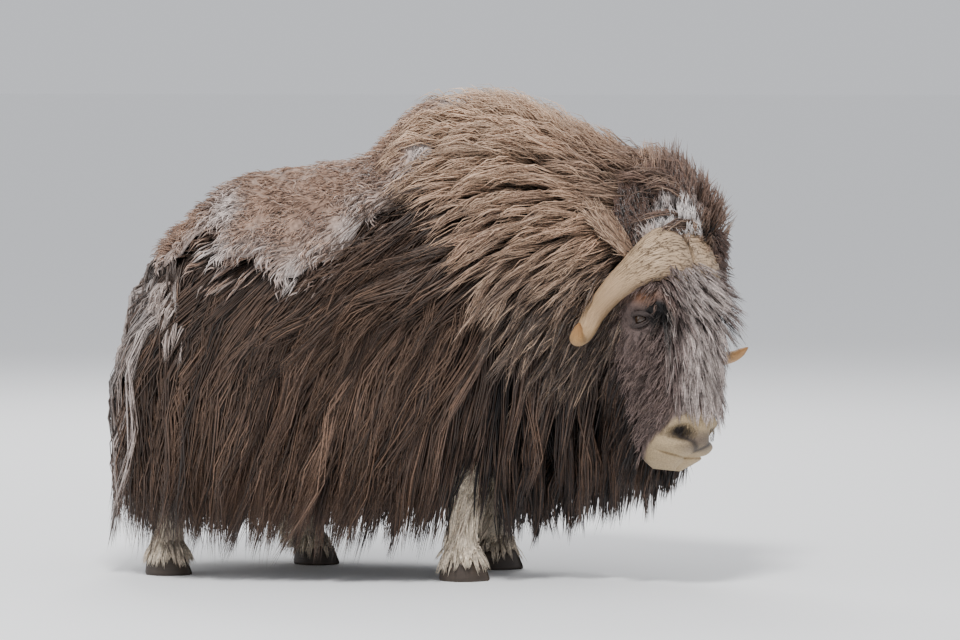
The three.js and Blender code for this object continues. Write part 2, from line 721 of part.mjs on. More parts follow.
// A box that keeps one region of the trunk
function region(lowCorner, highCorner, grow = 0) {
  const [low, high] = [lowCorner.clone().addScalar(-grow), highCorner.clone().addScalar(grow)];
  const corner = (x, y, z) => new THREE.Vector3(x ? high.x : low.x, y ? high.y : low.y, z ? high.z : low.z);
  return skinOver(
    [0, 1].map((z) => [corner(0, 0, z), corner(1, 0, z), corner(1, 1, z), corner(0, 1, z)]),
  );
}
const FAR = 2000;
const core = (from, to, lowY, highY) => (grow) =>
  trunk
    .solid(TRUNK_SLICES[0].u, TRUNK_SLICES.at(-1).u, 17, 18, CORE_SHARE, grow)
    .intersect(region(new THREE.Vector3(from, lowY, -FAR), new THREE.Vector3(to, highY, FAR), grow));

// Every node, from the one that keeps its shape whole to those that are cut clear of the others
const legNodes = Object.entries(LEGS).map(([place, leg], i) => {
  const stack = legStack(leg);
  const shaft = (grow) => stack.solid(HOOF_HEIGHT + GAP, leg.top, 6, 8, 0, grow);
  return {
    name: `leg_${place}`,
    colour: "leg",
    pieces: [shaft, ...legLocks(stack, 71 + i)],
  };
});
const hoofNodes = Object.entries(LEGS).map(([place, leg]) => ({
  name: `hoof_${place}`,
  colour: "hoof",
  pieces: [(grow) => hoof(leg, grow)],
}));
const pair = (name, colour, make) =>
  [
    ["right", -1],
    ["left", 1],
  ].map(([word, side]) => ({
    name: `${name}_${word}`,
    colour,
    pieces: [(grow) => make(side, grow)],
  }));
const eyeAt = (side, grow) =>
  egg(EYE.f, side * EYE.l, EYE.w, [EYE.radius, EYE.radius, EYE.radius], [12, 8])(grow);

const NODES = [
  ...pair("horn", "horn", horn),
  ...pair("eye", "eye", eyeAt),
  ...pair("ear", "face", ear),
  { name: "head", colour: "face", pieces: headPieces(), cuts: headCuts() },
  {
    name: "neck",
    colour: "mane",
    pieces: [core(NECK_START, FAR, -FAR, FAR), ...maneLocks(), ...throatLocks()],
  },
  { name: "tail", colour: "coat", pieces: [tail, ...tailLocks()] },
  {
    name: "torso",
    colour: "wool",
    pieces: [
      core(RUMP_END + GAP, NECK_START - GAP, -FLANK_HALF + GAP, FLANK_HALF - GAP),
      ...backLocks(),
    ],
  },
  {
    name: "rump",
    colour: "coat",
    pieces: [core(-FAR, RUMP_END, -FLANK_HALF + GAP, FLANK_HALF - GAP), ...rumpLocks()],
  },
  {
    name: "flank_right",
    colour: "coat",
    pieces: [core(-FAR, NECK_START - GAP, -FAR, -FLANK_HALF), ...flankLocks(-1)],
  },
  {
    name: "flank_left",
    colour: "coat",
    pieces: [core(-FAR, NECK_START - GAP, FLANK_HALF, FAR), ...flankLocks(1)],
  },
  ...hoofNodes,
  ...legNodes,
];

const COLOURS = {
  horn: ["#b99f78", 0.5],
  eye: ["#140e0a", 0.15],
  face: ["#5a4c46", 0.9],
  mane: ["#8d7159", 0.95],
  wool: ["#8a7566", 0.95],
  coat: ["#3a2b25", 0.9],
  leg: ["#c2b29a", 0.9],
  hoof: ["#2b2521", 0.6],
};

const largest = (solid) => solid.decompose().sort((a, b) => b.volume() - a.volume())[0];

// A geometry from a solid, moved, with points that have fallen together joined
function geometryOf(solid, shift = new THREE.Vector3()) {
  const { vertProperties, triVerts } = solid.getMesh();
  const geometry = new THREE.BufferGeometry();
  geometry.setAttribute("position", new THREE.BufferAttribute(vertProperties, 3));
  geometry.setIndex(new THREE.BufferAttribute(triVerts, 1));
  return mergeVertices(geometry.translate(shift.x, shift.y, shift.z), 1e-3);
}

// Where two locks still cross by a hair's breadth, a small box round the crossing comes out
function clearOf(solid, earlier) {
  for (const crossing of solid.intersect(earlier).decompose()) {
    const { min, max } = crossing.boundingBox();
    const corner = (at) => new THREE.Vector3(...at);
    if (crossing.volume() > 1e-3) solid = solid.subtract(region(corner(min), corner(max), GAP));
  }
  return solid;
}

// Joins each node's pieces, clears it of the nodes before it, and keeps its largest body
const solids = new Map();
const taken = [];
for (const { name, pieces, cuts = [] } of NODES) {
  let solid = wasm.Manifold.union(pieces.map((piece) => piece(0)));
  for (const cut of [...cuts, ...taken]) solid = solid.subtract(cut);
  for (const earlier of solids.values()) solid = clearOf(solid, earlier);
  solids.set(name, largest(solid));
  taken.push(wasm.Manifold.union(pieces.map((piece) => piece(GAP))));
}

// The origin is on the ground under the middle of the whole model
const whole = new THREE.Box3();
for (const solid of solids.values()) whole.expandByObject(new THREE.Mesh(geometryOf(solid)));
const shift = whole.getCenter(new THREE.Vector3()).negate().setZ(0);

const muskox = new THREE.Group();
for (const { name, colour } of NODES) {
  const solid = largest(solidOf(geometryOf(solids.get(name), shift)));
  const [color, roughness] = COLOURS[colour];
  const material = new THREE.MeshStandardMaterial({ color, roughness, metalness: 0 });
  const mesh = new THREE.Mesh(geometryOf(solid), material);
  mesh.name = name;
  muskox.add(mesh);
}

export default muskox;
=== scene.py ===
# %% [markdown]
# # A muskox bull in moult
#
# The frame holds the animal's real size and stance: horns, eyes, head, neck, trunk, legs and
# hooves as plain solids, with coarse locks for the coat. This lesson dresses it. One smooth skin
# replaces the flesh, and a coat of mesh tufts replaces the locks. The tufts are placed with arrays,
# because a coat of some eighty thousand of them is one rule applied many times.

import math

import bmesh
import bpy
import numpy as np
from mathutils import Matrix, Vector, kdtree


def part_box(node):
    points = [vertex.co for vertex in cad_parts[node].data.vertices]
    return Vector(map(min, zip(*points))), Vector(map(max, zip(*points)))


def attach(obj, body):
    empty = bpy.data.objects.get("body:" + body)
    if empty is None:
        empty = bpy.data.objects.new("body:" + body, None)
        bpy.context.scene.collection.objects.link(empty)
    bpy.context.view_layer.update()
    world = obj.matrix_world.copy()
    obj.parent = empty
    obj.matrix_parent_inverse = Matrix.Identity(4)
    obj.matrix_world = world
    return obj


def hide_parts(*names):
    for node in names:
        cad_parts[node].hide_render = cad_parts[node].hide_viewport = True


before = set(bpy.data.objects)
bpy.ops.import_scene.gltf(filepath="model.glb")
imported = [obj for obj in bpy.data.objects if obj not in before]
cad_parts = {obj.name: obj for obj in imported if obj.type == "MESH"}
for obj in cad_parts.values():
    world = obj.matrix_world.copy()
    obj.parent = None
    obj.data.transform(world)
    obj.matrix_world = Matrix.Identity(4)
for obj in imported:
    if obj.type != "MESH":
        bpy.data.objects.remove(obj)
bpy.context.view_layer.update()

# %% [markdown]
# ## Where the animal stands
#
# The sizes below are the ones that drive the solids, now in metres. Each part of the body is a
# stack of slices: the height of its front or back, of its belly or rear, its half width, and how
# deep the hair stands over it. The trunk's slices run along X, the head's run down from the top of
# the forehead, and a leg's run up from the hoof.

# %% Driving sizes
MM = 0.001
HEAD_AT = (0.788, -0.180, 0.989)
HEAD_TURN, HEAD_ROLL = -36, 8
EYE = {"f": -0.028, "l": 0.113, "w": -0.240, "radius": 0.022}
HOOF_HEIGHT = 0.056
SIDES = ((-1, "right"), (1, "left"))

# u, hi, lo, half, crest, side, hem, in millimetres
TRUNK_SLICES = [
    (-822, 850, 740, 60, 45, 45, 150),
    (-782, 895, 640, 150, 68, 70, 115),
    (-700, 965, 560, 222, 78, 95, 98),
    (-550, 1075, 520, 268, 85, 110, 95),
    (-350, 1112, 480, 296, 80, 112, 92),
    (-150, 1145, 455, 308, 90, 108, 88),
    (-40, 1185, 447, 306, 172, 104, 88),
    (60, 1228, 445, 299, 180, 106, 90),
    (180, 1262, 452, 281, 152, 112, 92),
    (300, 1252, 480, 250, 138, 118, 102),
    (420, 1208, 515, 214, 128, 110, 128),
    (560, 1150, 560, 176, 124, 78, 160),
    (680, 1098, 620, 145, 148, 60, 200),
    (745, 1072, 690, 118, 160, 66, 240),
    (800, 1040, 800, 84, 130, 70, 260),
    (848, 985, 880, 44, 100, 58, 280),
]
HEAD_SLICES = [
    (-658, 66, -24, 36, 2, 2, 0),
    (-634, 108, -54, 66, 2, 2, 0),
    (-600, 136, -72, 84, 2, 2, 0),
    (-560, 149, -86, 91, 2, 3, 0),
    (-515, 146, -106, 90, 3, 8, 0),
    (-465, 134, -130, 88, 8, 18, 0),
    (-405, 120, -160, 95, 24, 26, 0),
    (-330, 101, -195, 108, 46, 26, 0),
    (-250, 80, -222, 122, 60, 20, 0),
    (-190, 62, -218, 126, 72, 20, 0),
    (-125, 30, -196, 116, 66, 24, 0),
    (-70, 2, -165, 92, 40, 30, 0),
    (-38, -30, -120, 55, 30, 30, 0),
]
FORELEG_SLICES = [
    (58, 52, -48, 45, 0, 0, 0),
    (100, 46, -48, 42, 0, 0, 0),
    (150, 36, -38, 33, 0, 0, 0),
    (230, 38, -38, 36, 0, 0, 0),
    (310, 55, -46, 50, 0, 0, 0),
    (370, 54, -56, 52, 0, 0, 0),
    (480, 80, -92, 68, 0, 0, 0),
    (640, 120, -120, 74, 0, 0, 0),
]
HINDLEG_SLICES = [
    (54, 48, -46, 42, 0, 0, 0),
    (95, 42, -46, 39, 0, 0, 0),
    (150, 34, -38, 32, 0, 0, 0),
    (250, 36, -46, 35, 0, 0, 0),
    (330, 46, -72, 42, 0, 0, 0),
    (400, 70, -72, 50, 0, 0, 0),
    (500, 115, -88, 68, 0, 0, 0),
    (660, 160, -130, 84, 0, 0, 0),
]
LEGS = {
    "front_right": {"x": 0.132, "y": -0.178, "lean": 0.030, "top": 0.480, "slices": FORELEG_SLICES},
    "front_left": {"x": 0.160, "y": 0.168, "lean": -0.010, "top": 0.480, "slices": FORELEG_SLICES},
    "hind_right": {"x": -0.748, "y": -0.196, "lean": 0.120, "top": 0.580, "slices": HINDLEG_SLICES},
    "hind_left": {"x": -0.398, "y": 0.186, "lean": -0.210, "top": 0.540, "slices": HINDLEG_SLICES},
}
# f, l, w, half depth, half thickness, tilt of the right horn's middle line
HORN_LINE = [
    (-10, 7, -52, 88, 44, 52),
    (-8, 58, -50, 92, 46, 52),
    (-22, 108, -72, 72, 40, 50),
    (-62, 146, -118, 50, 34, 40),
    (-108, 172, -175, 39, 31, 25),
    (-140, 196, -238, 33, 29, 10),
    (-136, 230, -294, 29, 26, 0),
    (-112, 276, -316, 24, 22, 0),
    (-76, 314, -306, 17, 16, 0),
    (-45, 339, -276, 8, 8, 0),
]


# %% [markdown]
# ## From slices to points
#
# A Stack answers three questions about a body part, for thousands of points at once: where is the
# surface, which way is out, and where does a hair lie that has sunk into the coat. It is the same
# rule that shaped the solids, so skin and coat meet them with no fitting.

# %% Stacks of slices
def unit(v):
    return v / np.maximum(np.linalg.norm(v, axis=-1, keepdims=True), 1e-9)


def smooth(low, high, x):
    """0 below low, 1 above high, with a soft run between"""
    t = np.clip((x - low) / (high - low), 0, 1)
    return t * t * (3 - 2 * t)


def signed_power(v, n):
    return np.sign(v) * np.abs(v) ** n


class Stack:
    """The slices of one body part, placed in the frame; u runs along it and turn goes round it"""

    def __init__(self, rows, place, power):
        self.rows = np.array(rows, float) * MM
        self.place = np.array(place)
        self.back = np.linalg.inv(self.place)
        self.power = power

    def slice(self, u):
        """hi, lo, half, crest, side and hem at u, run smoothly through the rows"""
        us = self.rows[:, 0]
        at = np.clip(u, us[0], us[-1])
        i = np.clip(np.searchsorted(us, at, side="right") - 1, 0, len(us) - 2)
        before, after = np.maximum(i - 1, 0), np.minimum(i + 2, len(us) - 1)
        a, b, pre, post = (self.rows[k, 1:] for k in (i, i + 1, before, after))
        width = (us[i + 1] - us[i])[..., None]
        t = (at - us[i])[..., None] / width
        lean_a = (b - pre) / (us[i + 1] - us[before])[..., None] * width
        lean_b = (post - a) / (us[after] - us[i])[..., None] * width
        rise = t * t * (3 - 2 * t)
        row = a * (1 - rise) + b * rise + lean_a * (t**3 - 2 * t**2 + t) + lean_b * (t**3 - t**2)
        return row.T if row.ndim == 2 else np.moveaxis(row, -1, 0)

    def shape(self, u):
        """The section at u: its centre, half height, half width, and the coat's depth above and beside"""
        hi, lo, half, crest, side, _ = self.slice(u)
        return (hi + lo) / 2, (hi - lo) / 2, half, crest, side

    def depth(self, turn, crest, side):
        """The coat's depth at a turn"""
        top = np.where(np.cos(turn) > 0, crest, 0.4 * side)
        share = np.sin(turn) ** 2
        return top + (side - top) * share

    def out_of(self, local):
        return local @ self.place[:3, :3].T + self.place[:3, 3]

    def local(self, p):
        return p @ self.back[:3, :3].T + self.back[:3, 3]

    def point(self, u, turn, share=0.0):
        """The place at u and turn, raised by a share of the coat's depth"""
        centre, high, half, crest, side = self.shape(u)
        raised = share * self.depth(turn, crest, side)
        a = centre + (high + raised) * signed_power(np.cos(turn), 2 / self.power)
        b = (half + raised) * signed_power(np.sin(turn), 2 / self.power)
        return self.out_of(np.stack([u + 0 * a, a, b], -1))

    def outward(self, p):
        """The way out of the body at points"""
        q = self.local(p)
        centre, high, half, *_ = self.shape(q[..., 0])
        out = np.stack([0 * centre, (q[..., 1] - centre) / high**2, q[..., 2] / half**2], -1)
        return unit(out @ self.place[:3, :3].T)

    def uv(self, p):
        """u and turn of points, by their place"""
        q = self.local(p)
        centre, high, half, *_ = self.shape(q[..., 0])
        return q[..., 0], np.arctan2(q[..., 2] / half, (q[..., 1] - centre) / high)

    def settle(self, p, share, clings):
        """Lifts points out of the coat to a share of its depth, and draws clinging ones down to it"""
        q = self.local(p)
        centre, high, half, crest, side = self.shape(q[:, 0])
        a, b = q[:, 1] - centre, q[:, 2]
        raised = share * self.depth(np.arctan2(b / half, a / high), crest, side)
        filled = np.abs(a / (high + raised)) ** self.power + np.abs(b / (half + raised)) ** self.power
        beyond = (q[:, 0] < self.rows[0, 0] - 0.03) | (q[:, 0] > self.rows[-1, 0] + 0.03)
        free = beyond | ((filled >= 1) & ~(clings & (a > 0)))
        scale = np.where(free, 1, np.maximum(filled, 1e-9) ** (-1 / self.power))
        q[:, 1], q[:, 2] = centre + a * scale, b * scale
        return self.out_of(q)


# %% Placing the stacks
def basis(x, y, z, at=(0, 0, 0)):
    return Matrix((x, y, z)).transposed().to_4x4() if not any(at) else Matrix.Translation(at) @ basis(x, y, z)


head_frame = (
    Matrix.Translation(HEAD_AT)
    @ Matrix.Rotation(math.radians(HEAD_TURN), 4, "Z")
    @ Matrix.Rotation(math.radians(-HEAD_ROLL), 4, "X")
)
right_eye = head_frame @ Vector((EYE["f"], -EYE["l"], EYE["w"]))
low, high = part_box("eye_right")
shift = (low + high) / 2 - right_eye
shift.z = 0
to_frame = Matrix.Translation(shift)
head_frame = to_frame @ head_frame
print("the frame lies", [round(1000 * v, 1) for v in shift], "mm from the driving sizes")

trunk = Stack(TRUNK_SLICES, to_frame @ basis((1, 0, 0), (0, 0, 1), (0, 1, 0)), 2.3)
head = Stack(HEAD_SLICES, head_frame @ basis((0, 0, 1), (1, 0, 0), (0, 1, 0)), 2.4)
leg_stacks = {
    name: Stack(
        leg["slices"],
        to_frame
        @ basis(
            (leg["lean"] / 0.6, 0, 1),
            (1, 0, 0),
            (0, 1, 0),
            (leg["x"] - leg["lean"] * HOOF_HEIGHT / 0.6, leg["y"], 0),
        ),
        2.2,
    )
    for name, leg in LEGS.items()
}
HEAD = np.array(head_frame)


def in_head(f, l, w):
    """Points given forward, left and up in the head, in metres"""
    return np.stack(np.broadcast_arrays(f, l, w), -1) @ HEAD[:3, :3].T + HEAD[:3, 3]


def head_place(p):
    """Forward, left and up in the head of points in the frame"""
    return (p - HEAD[:3, 3]) @ HEAD[:3, :3]


# %% [markdown]
# ## The camera
#
# The photograph looks at the animal's right side from a little in front, from far away and from
# about the height of its chest. A long lens at a real distance gives the same flat perspective.
# The floor is plain and pale. A key lamp stands high in front, and a fill and a back lamp soften it.

# %% Camera, floor and lights
VIEW_TURN, VIEW_RISE = math.radians(12), math.radians(3)
VIEW_DISTANCE = 14.0
LENS = 180
MIDDLE = (0.149, 0, 0.744)  # the point of the body at the picture's middle
target = Vector(MIDDLE) + shift
flat = math.cos(VIEW_RISE)
away = Vector((math.sin(VIEW_TURN) * flat, -math.cos(VIEW_TURN) * flat, math.sin(VIEW_RISE)))
camera = bpy.data.objects.new("camera", bpy.data.cameras.new("camera"))
camera.data.lens, camera.data.sensor_width = LENS, 36
camera.location = target + VIEW_DISTANCE * away
camera.rotation_euler = (-away).to_track_quat("-Z", "Y").to_euler()
bpy.context.scene.collection.objects.link(camera)
bpy.context.scene.camera = camera


class Material:
    """A material and the tools to wire it: node() makes a node, and give() sets or joins an input"""

    def __init__(self, name, colour, roughness):
        self.made = bpy.data.materials.new(name)
        self.made.use_nodes = True
        self.tree = self.made.node_tree
        self.shader = self.tree.nodes["Principled BSDF"]
        self.shader.inputs["Base Color"].default_value = (*colour, 1)
        self.shader.inputs["Roughness"].default_value = roughness

    def node(self, kind, values=None, **settings):
        """A new node; settings are its own, and values go to its inputs by name or number"""
        made = self.tree.nodes.new("ShaderNode" + kind)
        for key, value in settings.items():
            setattr(made, key, value)
        for key, value in (values or {}).items():
            self.give(made, key, value)
        return made

    def give(self, node, key, value):
        """Sets an input, or joins it where the value is another node's output"""
        if isinstance(value, bpy.types.NodeSocket):
            self.tree.links.new(value, node.inputs[key])
        else:
            node.inputs[key].default_value = value

    def coordinates(self):
        return self.node("TexCoord").outputs["Object"]

    def ramp(self, factor, stops):
        """A colour for each value of a factor, run through stops of place and linear colour"""
        made = self.node("ValToRGB", {"Fac": factor})
        elements = made.color_ramp.elements
        while len(elements) < len(stops):
            elements.new(0.5)
        for element, (at, colour) in zip(elements, stops):
            element.position, element.color = at, (*colour, 1)
        return made.outputs["Color"]

    def shades(self, factor, stops):
        self.give(self.shader, "Base Color", self.ramp(factor, stops))

    def bump(self, height, strength, distance):
        made = self.node("Bump", {"Strength": strength, "Distance": distance, "Height": height})
        self.give(self.shader, "Normal", made.outputs["Normal"])


floor_mesh = bpy.data.meshes.new("floor")
FLOOR = 250  # half of its side, in metres: far enough for its edge to meet the horizon
floor_mesh.from_pydata(
    [(-FLOOR, -FLOOR, 0), (FLOOR, -FLOOR, 0), (FLOOR, FLOOR, 0), (-FLOOR, FLOOR, 0)], [], [(0, 1, 2, 3)]
)
floor = bpy.data.objects.new("floor", floor_mesh)
bpy.context.scene.collection.objects.link(floor)
floor_mesh.materials.append(Material("floor", (0.95, 0.95, 0.95), 0.9).made)

# name, place, size in metres, power in watts
LAMPS = [
    ("key", (0.5, -5.0, 7.5), 1.6, 700),
    ("fill", (-7.0, -4.0, 3.0), 4.0, 90),
    ("back", (-2.5, 6.0, 6.0), 4.0, 420),
]
for name, place, size, power in LAMPS:
    lamp = bpy.data.objects.new(name, bpy.data.lights.new(name, "AREA"))
    lamp.data.size, lamp.data.energy = size, power
    lamp.location = place
    lamp.rotation_euler = (Vector((0, 0, 0.7)) - lamp.location).to_track_quat("-Z", "Y").to_euler()
    bpy.context.scene.collection.objects.link(lamp)
world = bpy.data.worlds.new("studio")
world.use_nodes = True
world.node_tree.nodes["Background"].inputs["Color"].default_value = (0.93, 0.95, 1, 1)
world.node_tree.nodes["Background"].inputs["Strength"].default_value = 0.75
bpy.context.scene.world = world


# %% [markdown]
# ## The markings
#
# A muskox in early summer wears several coats at once: dark guard hair that reaches its knees, a
# paler mane over the shoulders, a saddle of shed underwool, pale stockings, and a dark face with a
# grey forelock. One function gives the colour at any place on the body. It also paints light and
# shade: paler tops on the flank and hump, darker low flanks, and shade in and under the nostrils.
# Skin and tufts both ask it, so they carry the same markings and the same painted light and shade.

# %% Colours
def paint(r, g, b):
    """A colour read as 0 to 255 on the screen, as linear light"""
    c = np.array([r, g, b]) / 255
    return np.where(c <= 0.04045, c / 12.92, ((c + 0.055) / 1.055) ** 2.4)


GUARD = paint(34, 27, 25)
GUARD_STREAK = paint(124, 98, 80)
MANE = paint(170, 138, 114)
MANE_TIP = paint(214, 182, 154)
HOOD = paint(96, 74, 64)
WOOL = paint(154, 125, 107)
PALE_WOOL = paint(204, 192, 186)
WHITE_WOOL = paint(232, 224, 220)
FACE = paint(114, 97, 92)
FORELOCK = paint(182, 168, 162)
BROW = paint(124, 86, 62)
MUZZLE = paint(178, 156, 122)
NOSE = paint(96, 84, 78)
LEG = paint(226, 211, 190)
LEG_SHADE = paint(140, 124, 110)
EAR = paint(120, 96, 80)


def blend(a, b, share):
    """Colour a, with a share of b mixed in"""
    share = np.asarray(share)[..., None]
    return a * (1 - share) + b * share


def patches(p, size, seed):
    """A soft random field from -1 to 1, with waves of about one size"""
    draw = np.random.default_rng(seed)
    total = np.zeros(p.shape[:-1])
    for _ in range(6):
        way = unit(draw.normal(size=3)) * 2 * math.pi / (size * draw.uniform(0.7, 1.5))
        total += np.sin(p @ way + draw.uniform(0, 6.3))
    return total / 3.2


def mane_edge(z):
    """How far back the mane reaches on the side, at a height"""
    return np.interp(z, [0.52, 0.60, 0.68, 0.80, 0.98, 1.12, 1.22], [0.62, 0.54, 0.44, 0.33, 0.25, 0.20, 0.0])


def saddle_edge(x):
    """The height on the side down to which the shed wool hangs"""
    along = [-0.80, -0.68, -0.60, -0.50, -0.38, -0.24, -0.14, 0.0]
    return np.interp(x, along, [0.98, 0.95, 0.90, 0.86, 0.83, 0.83, 0.90, 1.03])


def in_saddle(p, soft=0.004):
    """1 where the shed wool lies, 0 elsewhere, with a wandering edge"""
    x, z = p[..., 0] - shift.x, p[..., 2]
    return smooth(-soft, soft, z - saddle_edge(x) + 0.035 * patches(p, 0.13, 3)) * smooth(0.16, 0.08, x)


def in_mane(p, soft=0.004):
    """1 on the mane, 0 elsewhere, with a wandering edge"""
    x, z = p[..., 0] - shift.x, p[..., 2]
    wander = 0.035 * patches(p, 0.15, 4)
    return smooth(-soft, soft, x - mane_edge(z) + wander) * smooth(0.50, 0.58, z + wander)


def guard_colour(p):
    """Dark guard hair with paler strands on the rear thigh, painted light high on the flank and painted shade
    low down
    """
    x, z = p[..., 0] - shift.x, p[..., 2]
    colour = blend(GUARD, GUARD_STREAK, 0.3 * smooth(0.2, 1, patches(p, 0.10, 5)) * smooth(0.5, 0.8, z))
    # painted highlight: the upper flank paler, as where light falls from above
    colour = blend(colour, GUARD_STREAK, 0.26 * smooth(0.72, 0.95, z))
    # painted shade: the hair darker towards the belly
    colour = colour * (0.55 + 0.45 * smooth(0.35, 0.75, z))[..., None]
    colour = colour * (1 + 0.35 * patches(p * [1, 1, 0.5], 0.16, 21))[..., None]
    wisps = smooth(0.0, 0.5, patches(p * [1, 0, 0.4] + [0, 0.3, 0], 0.10, 9))
    thigh = smooth(-0.60, -0.70, x) * smooth(0.30, 0.50, z) * wisps
    return blend(colour, PALE_WOOL, 0.6 * thigh * smooth(0.97, 0.86, z))


# places on the side where the wool has felted into pale clumps: x, z and size
CLUMPS = [
    (-0.12, 1.01, 0.055),
    (-0.53, 1.08, 0.045),
    (-0.54, 0.96, 0.040),
    (0.05, 1.24, 0.050),
    (-0.30, 0.88, 0.045),
]


def wool_colour(p):
    """Brown felt with darker clouds and pale clumps"""
    x, z = p[..., 0] - shift.x, p[..., 2]
    pale = sum(np.exp(-((((x - cx) ** 2 + (z - cz) ** 2) / size**2) ** 1.5)) for cx, cz, size in CLUMPS)
    colour = blend(WOOL, HOOD, 0.45 * smooth(0.0, 0.8, patches(p, 0.16, 7)))
    return blend(colour, PALE_WOOL, np.clip(pale, 0, 1) * 0.9)


def mane_colour(p):
    """Tan on the hump, with painted light that makes its top paler, dark on the hood and down the neck"""
    x, z = p[..., 0] - shift.x, p[..., 2]
    colour = blend(MANE, MANE_TIP, 0.45 * smooth(0.1, 1, patches(p, 0.12, 11)))
    colour = blend(colour, HOOD, 0.5 * smooth(0.0, 0.9, patches(p, 0.17, 12)))
    # painted light: the top of the hump paler, where light falls on it
    colour = blend(colour, MANE_TIP, 0.60 * smooth(1.10, 1.26, z) * smooth(0.66, 0.50, x))
    colour = blend(colour, HOOD, 0.9 * smooth(0.60, 0.74, x) * smooth(0.92, 1.05, z))
    return blend(colour, GUARD, 0.88 * smooth(0.18, 0.36, x) * smooth(1.04, 0.86, z))


def trunk_colour(p):
    colour = blend(guard_colour(p), wool_colour(p), in_saddle(p, 0.02))
    colour = blend(colour, mane_colour(p), in_mane(p, 0.02))
    return blend(colour, GUARD, smooth(0.76, 0.82, p[..., 0] - shift.x))


def muzzle_edge(f):
    """The height of the bare muzzle's upper edge, given how far forward"""
    return -0.480 - 0.95 * np.clip(0.14 - f, 0, 0.3)


def head_colour(p):
    """The face's markings, and painted shade in and under the nostrils, each a soft spot in head coordinates:
    forward, sideways, up
    """
    f, l, w = np.moveaxis(head_place(p), -1, 0)
    side = np.abs(l)
    colour = blend(FACE, GUARD, smooth(-0.06, -0.16, f))
    front = smooth(0.080, 0.045, side) * smooth(-0.02, 0.03, f) * smooth(-0.47, -0.42, w)
    colour = blend(colour, FORELOCK, front)
    beside = smooth(0.06, 0.09, side)
    socket = np.exp(-((((f - EYE["f"]) / 0.05) ** 2 + ((w - EYE["w"]) / 0.035) ** 2) ** 1.5)) * beside
    colour = blend(colour, paint(58, 48, 45), socket)
    brow = np.exp(-(((f + 0.015) / 0.045) ** 2) - ((w + 0.175) / 0.022) ** 2) * smooth(0.07, 0.1, side)
    colour = blend(colour, BROW, np.clip(1.1 * brow, 0, 1))
    patch = np.exp(-((((f - 0.030) / 0.030) ** 2 + ((w + 0.222) / 0.034) ** 2) ** 1.5)) * beside
    colour = blend(colour, paint(24, 20, 20), np.clip(2.2 * patch, 0, 1))
    colour = blend(colour, MUZZLE, smooth(0.012, -0.02, w - muzzle_edge(f)) * smooth(-0.06, 0.0, f))
    # the dark bare pad between the nostrils, and below it a band of painted shade
    pad = np.exp(-((l / 0.036) ** 4) - ((w + 0.556) / 0.018) ** 4) * smooth(0.10, 0.125, f)
    below = np.exp(-((side / 0.06) ** 4) - ((w + 0.582) / 0.020) ** 4) * smooth(0.08, 0.12, f)
    colour = blend(colour, NOSE, np.clip(0.7 * pad + 0.6 * below, 0, 0.8))
    # painted shade inside the nostril
    nostril_shade = ((f - 0.128) / 0.038) ** 2 + ((side - 0.060) / 0.028) ** 2 + ((w + 0.549) / 0.021) ** 2
    colour = blend(colour, paint(30, 24, 22), np.clip(1.5 * np.exp(-(nostril_shade**1.5)), 0, 1))
    # painted shade along the fold under the pad, from one nostril down to the middle and up to the other
    crease_shade = np.exp(-(((w + 0.598 - 0.75 * side) / 0.010) ** 2)) * smooth(0.075, 0.055, side)
    colour = blend(colour, paint(44, 36, 34), 0.85 * (crease_shade * smooth(0.09, 0.12, f)))
    # painted shade in the nostril's slit
    slit = ((f - 0.106) / 0.026) ** 2 + ((side - 0.084) / 0.020) ** 2 + ((w + 0.558) / 0.010) ** 2
    return blend(colour, paint(60, 50, 46), 0.8 * np.exp(-slit))


def leg_colour(p):
    z = p[..., 2]
    pale = blend(LEG, LEG_SHADE, 0.6 * smooth(0, 1, patches(p, 0.09, 13)))
    return blend(pale, GUARD, smooth(0.34, 0.46, z))


# %% [markdown]
# ## Materials for hair, skin and horn
#
# Hair gets its colour from an attribute that is painted on each tuft, with painted shade that
# makes it darker at the root and lighter at the tip. A fine noise along the strands breaks it up.
# Guard hair is glossy and underwool is matt, so each kind of coat has its own material.

# %% Materials
def painted(name, roughness, gloss, sheen=0.0, grain=140.0, strength=0.35):
    """A material that shows the painted colour, with a little noise in it"""
    m = Material(name, (0.1, 0.08, 0.07), roughness)
    m.give(m.shader, "Specular IOR Level", gloss)
    m.give(m.shader, "Sheen Weight", sheen)
    m.give(m.shader, "Sheen Roughness", 0.4)
    colour = m.node("Attribute", attribute_name="paint").outputs["Color"]
    noise = m.node("TexNoise", {"Scale": grain, "Detail": 3, "Vector": m.coordinates()})
    low, high = 1 - strength, 1 + strength
    ends = {"From Min": 0.3, "From Max": 0.7, "To Min": low, "To Max": high}
    spread = m.node("MapRange", {**ends, "Value": noise.outputs["Fac"]})
    shade = m.node("VectorMath", {0: colour, "Scale": spread.outputs["Result"]}, operation="SCALE")
    m.give(m.shader, "Base Color", shade.outputs["Vector"])
    return m


guard_hair = painted("guard hair", 0.42, 0.45).made
mane_hair = painted("mane hair", 0.5, 0.4, 0.1).made
underwool = painted("underwool", 0.85, 0.2, 0.3, 90).made
face_hair = painted("face hair", 0.55, 0.35).made
leg_hair = painted("leg hair", 0.7, 0.25).made
# each kind of coat: its material and the name of a slot
GUARD_COAT = (guard_hair, "guard_hair")
MANE_COAT = (mane_hair, "mane")
WOOL_COAT = (underwool, "back_wool")
FACE_COAT = (face_hair, "face_hair")
LEG_COAT = (leg_hair, "leg_hair")


# %% [markdown]
# ## One skin
#
# The flesh is one closed surface. Trunk, legs, head and ears are each made as a fine net over
# their slices, and a Boolean union welds them, so no seam is left where a leg enters the body. The
# skin keeps well inside the solids: it lies at a third of the coat's depth, where the hairs root.
#
# The head's net is pushed in and out by named bumps: brow, cheek, nostril, lip and chin. A sculptor
# does the same with a finger of clay, and each bump can be moved alone.

# %% Nets over stacks
SKIN_SHARE = 0.3  # how deep in the coat the skin lies, from the solid's core outwards
SKIN_SHADE = 0.8  # the skin is painted a little darker than the hair that grows from it


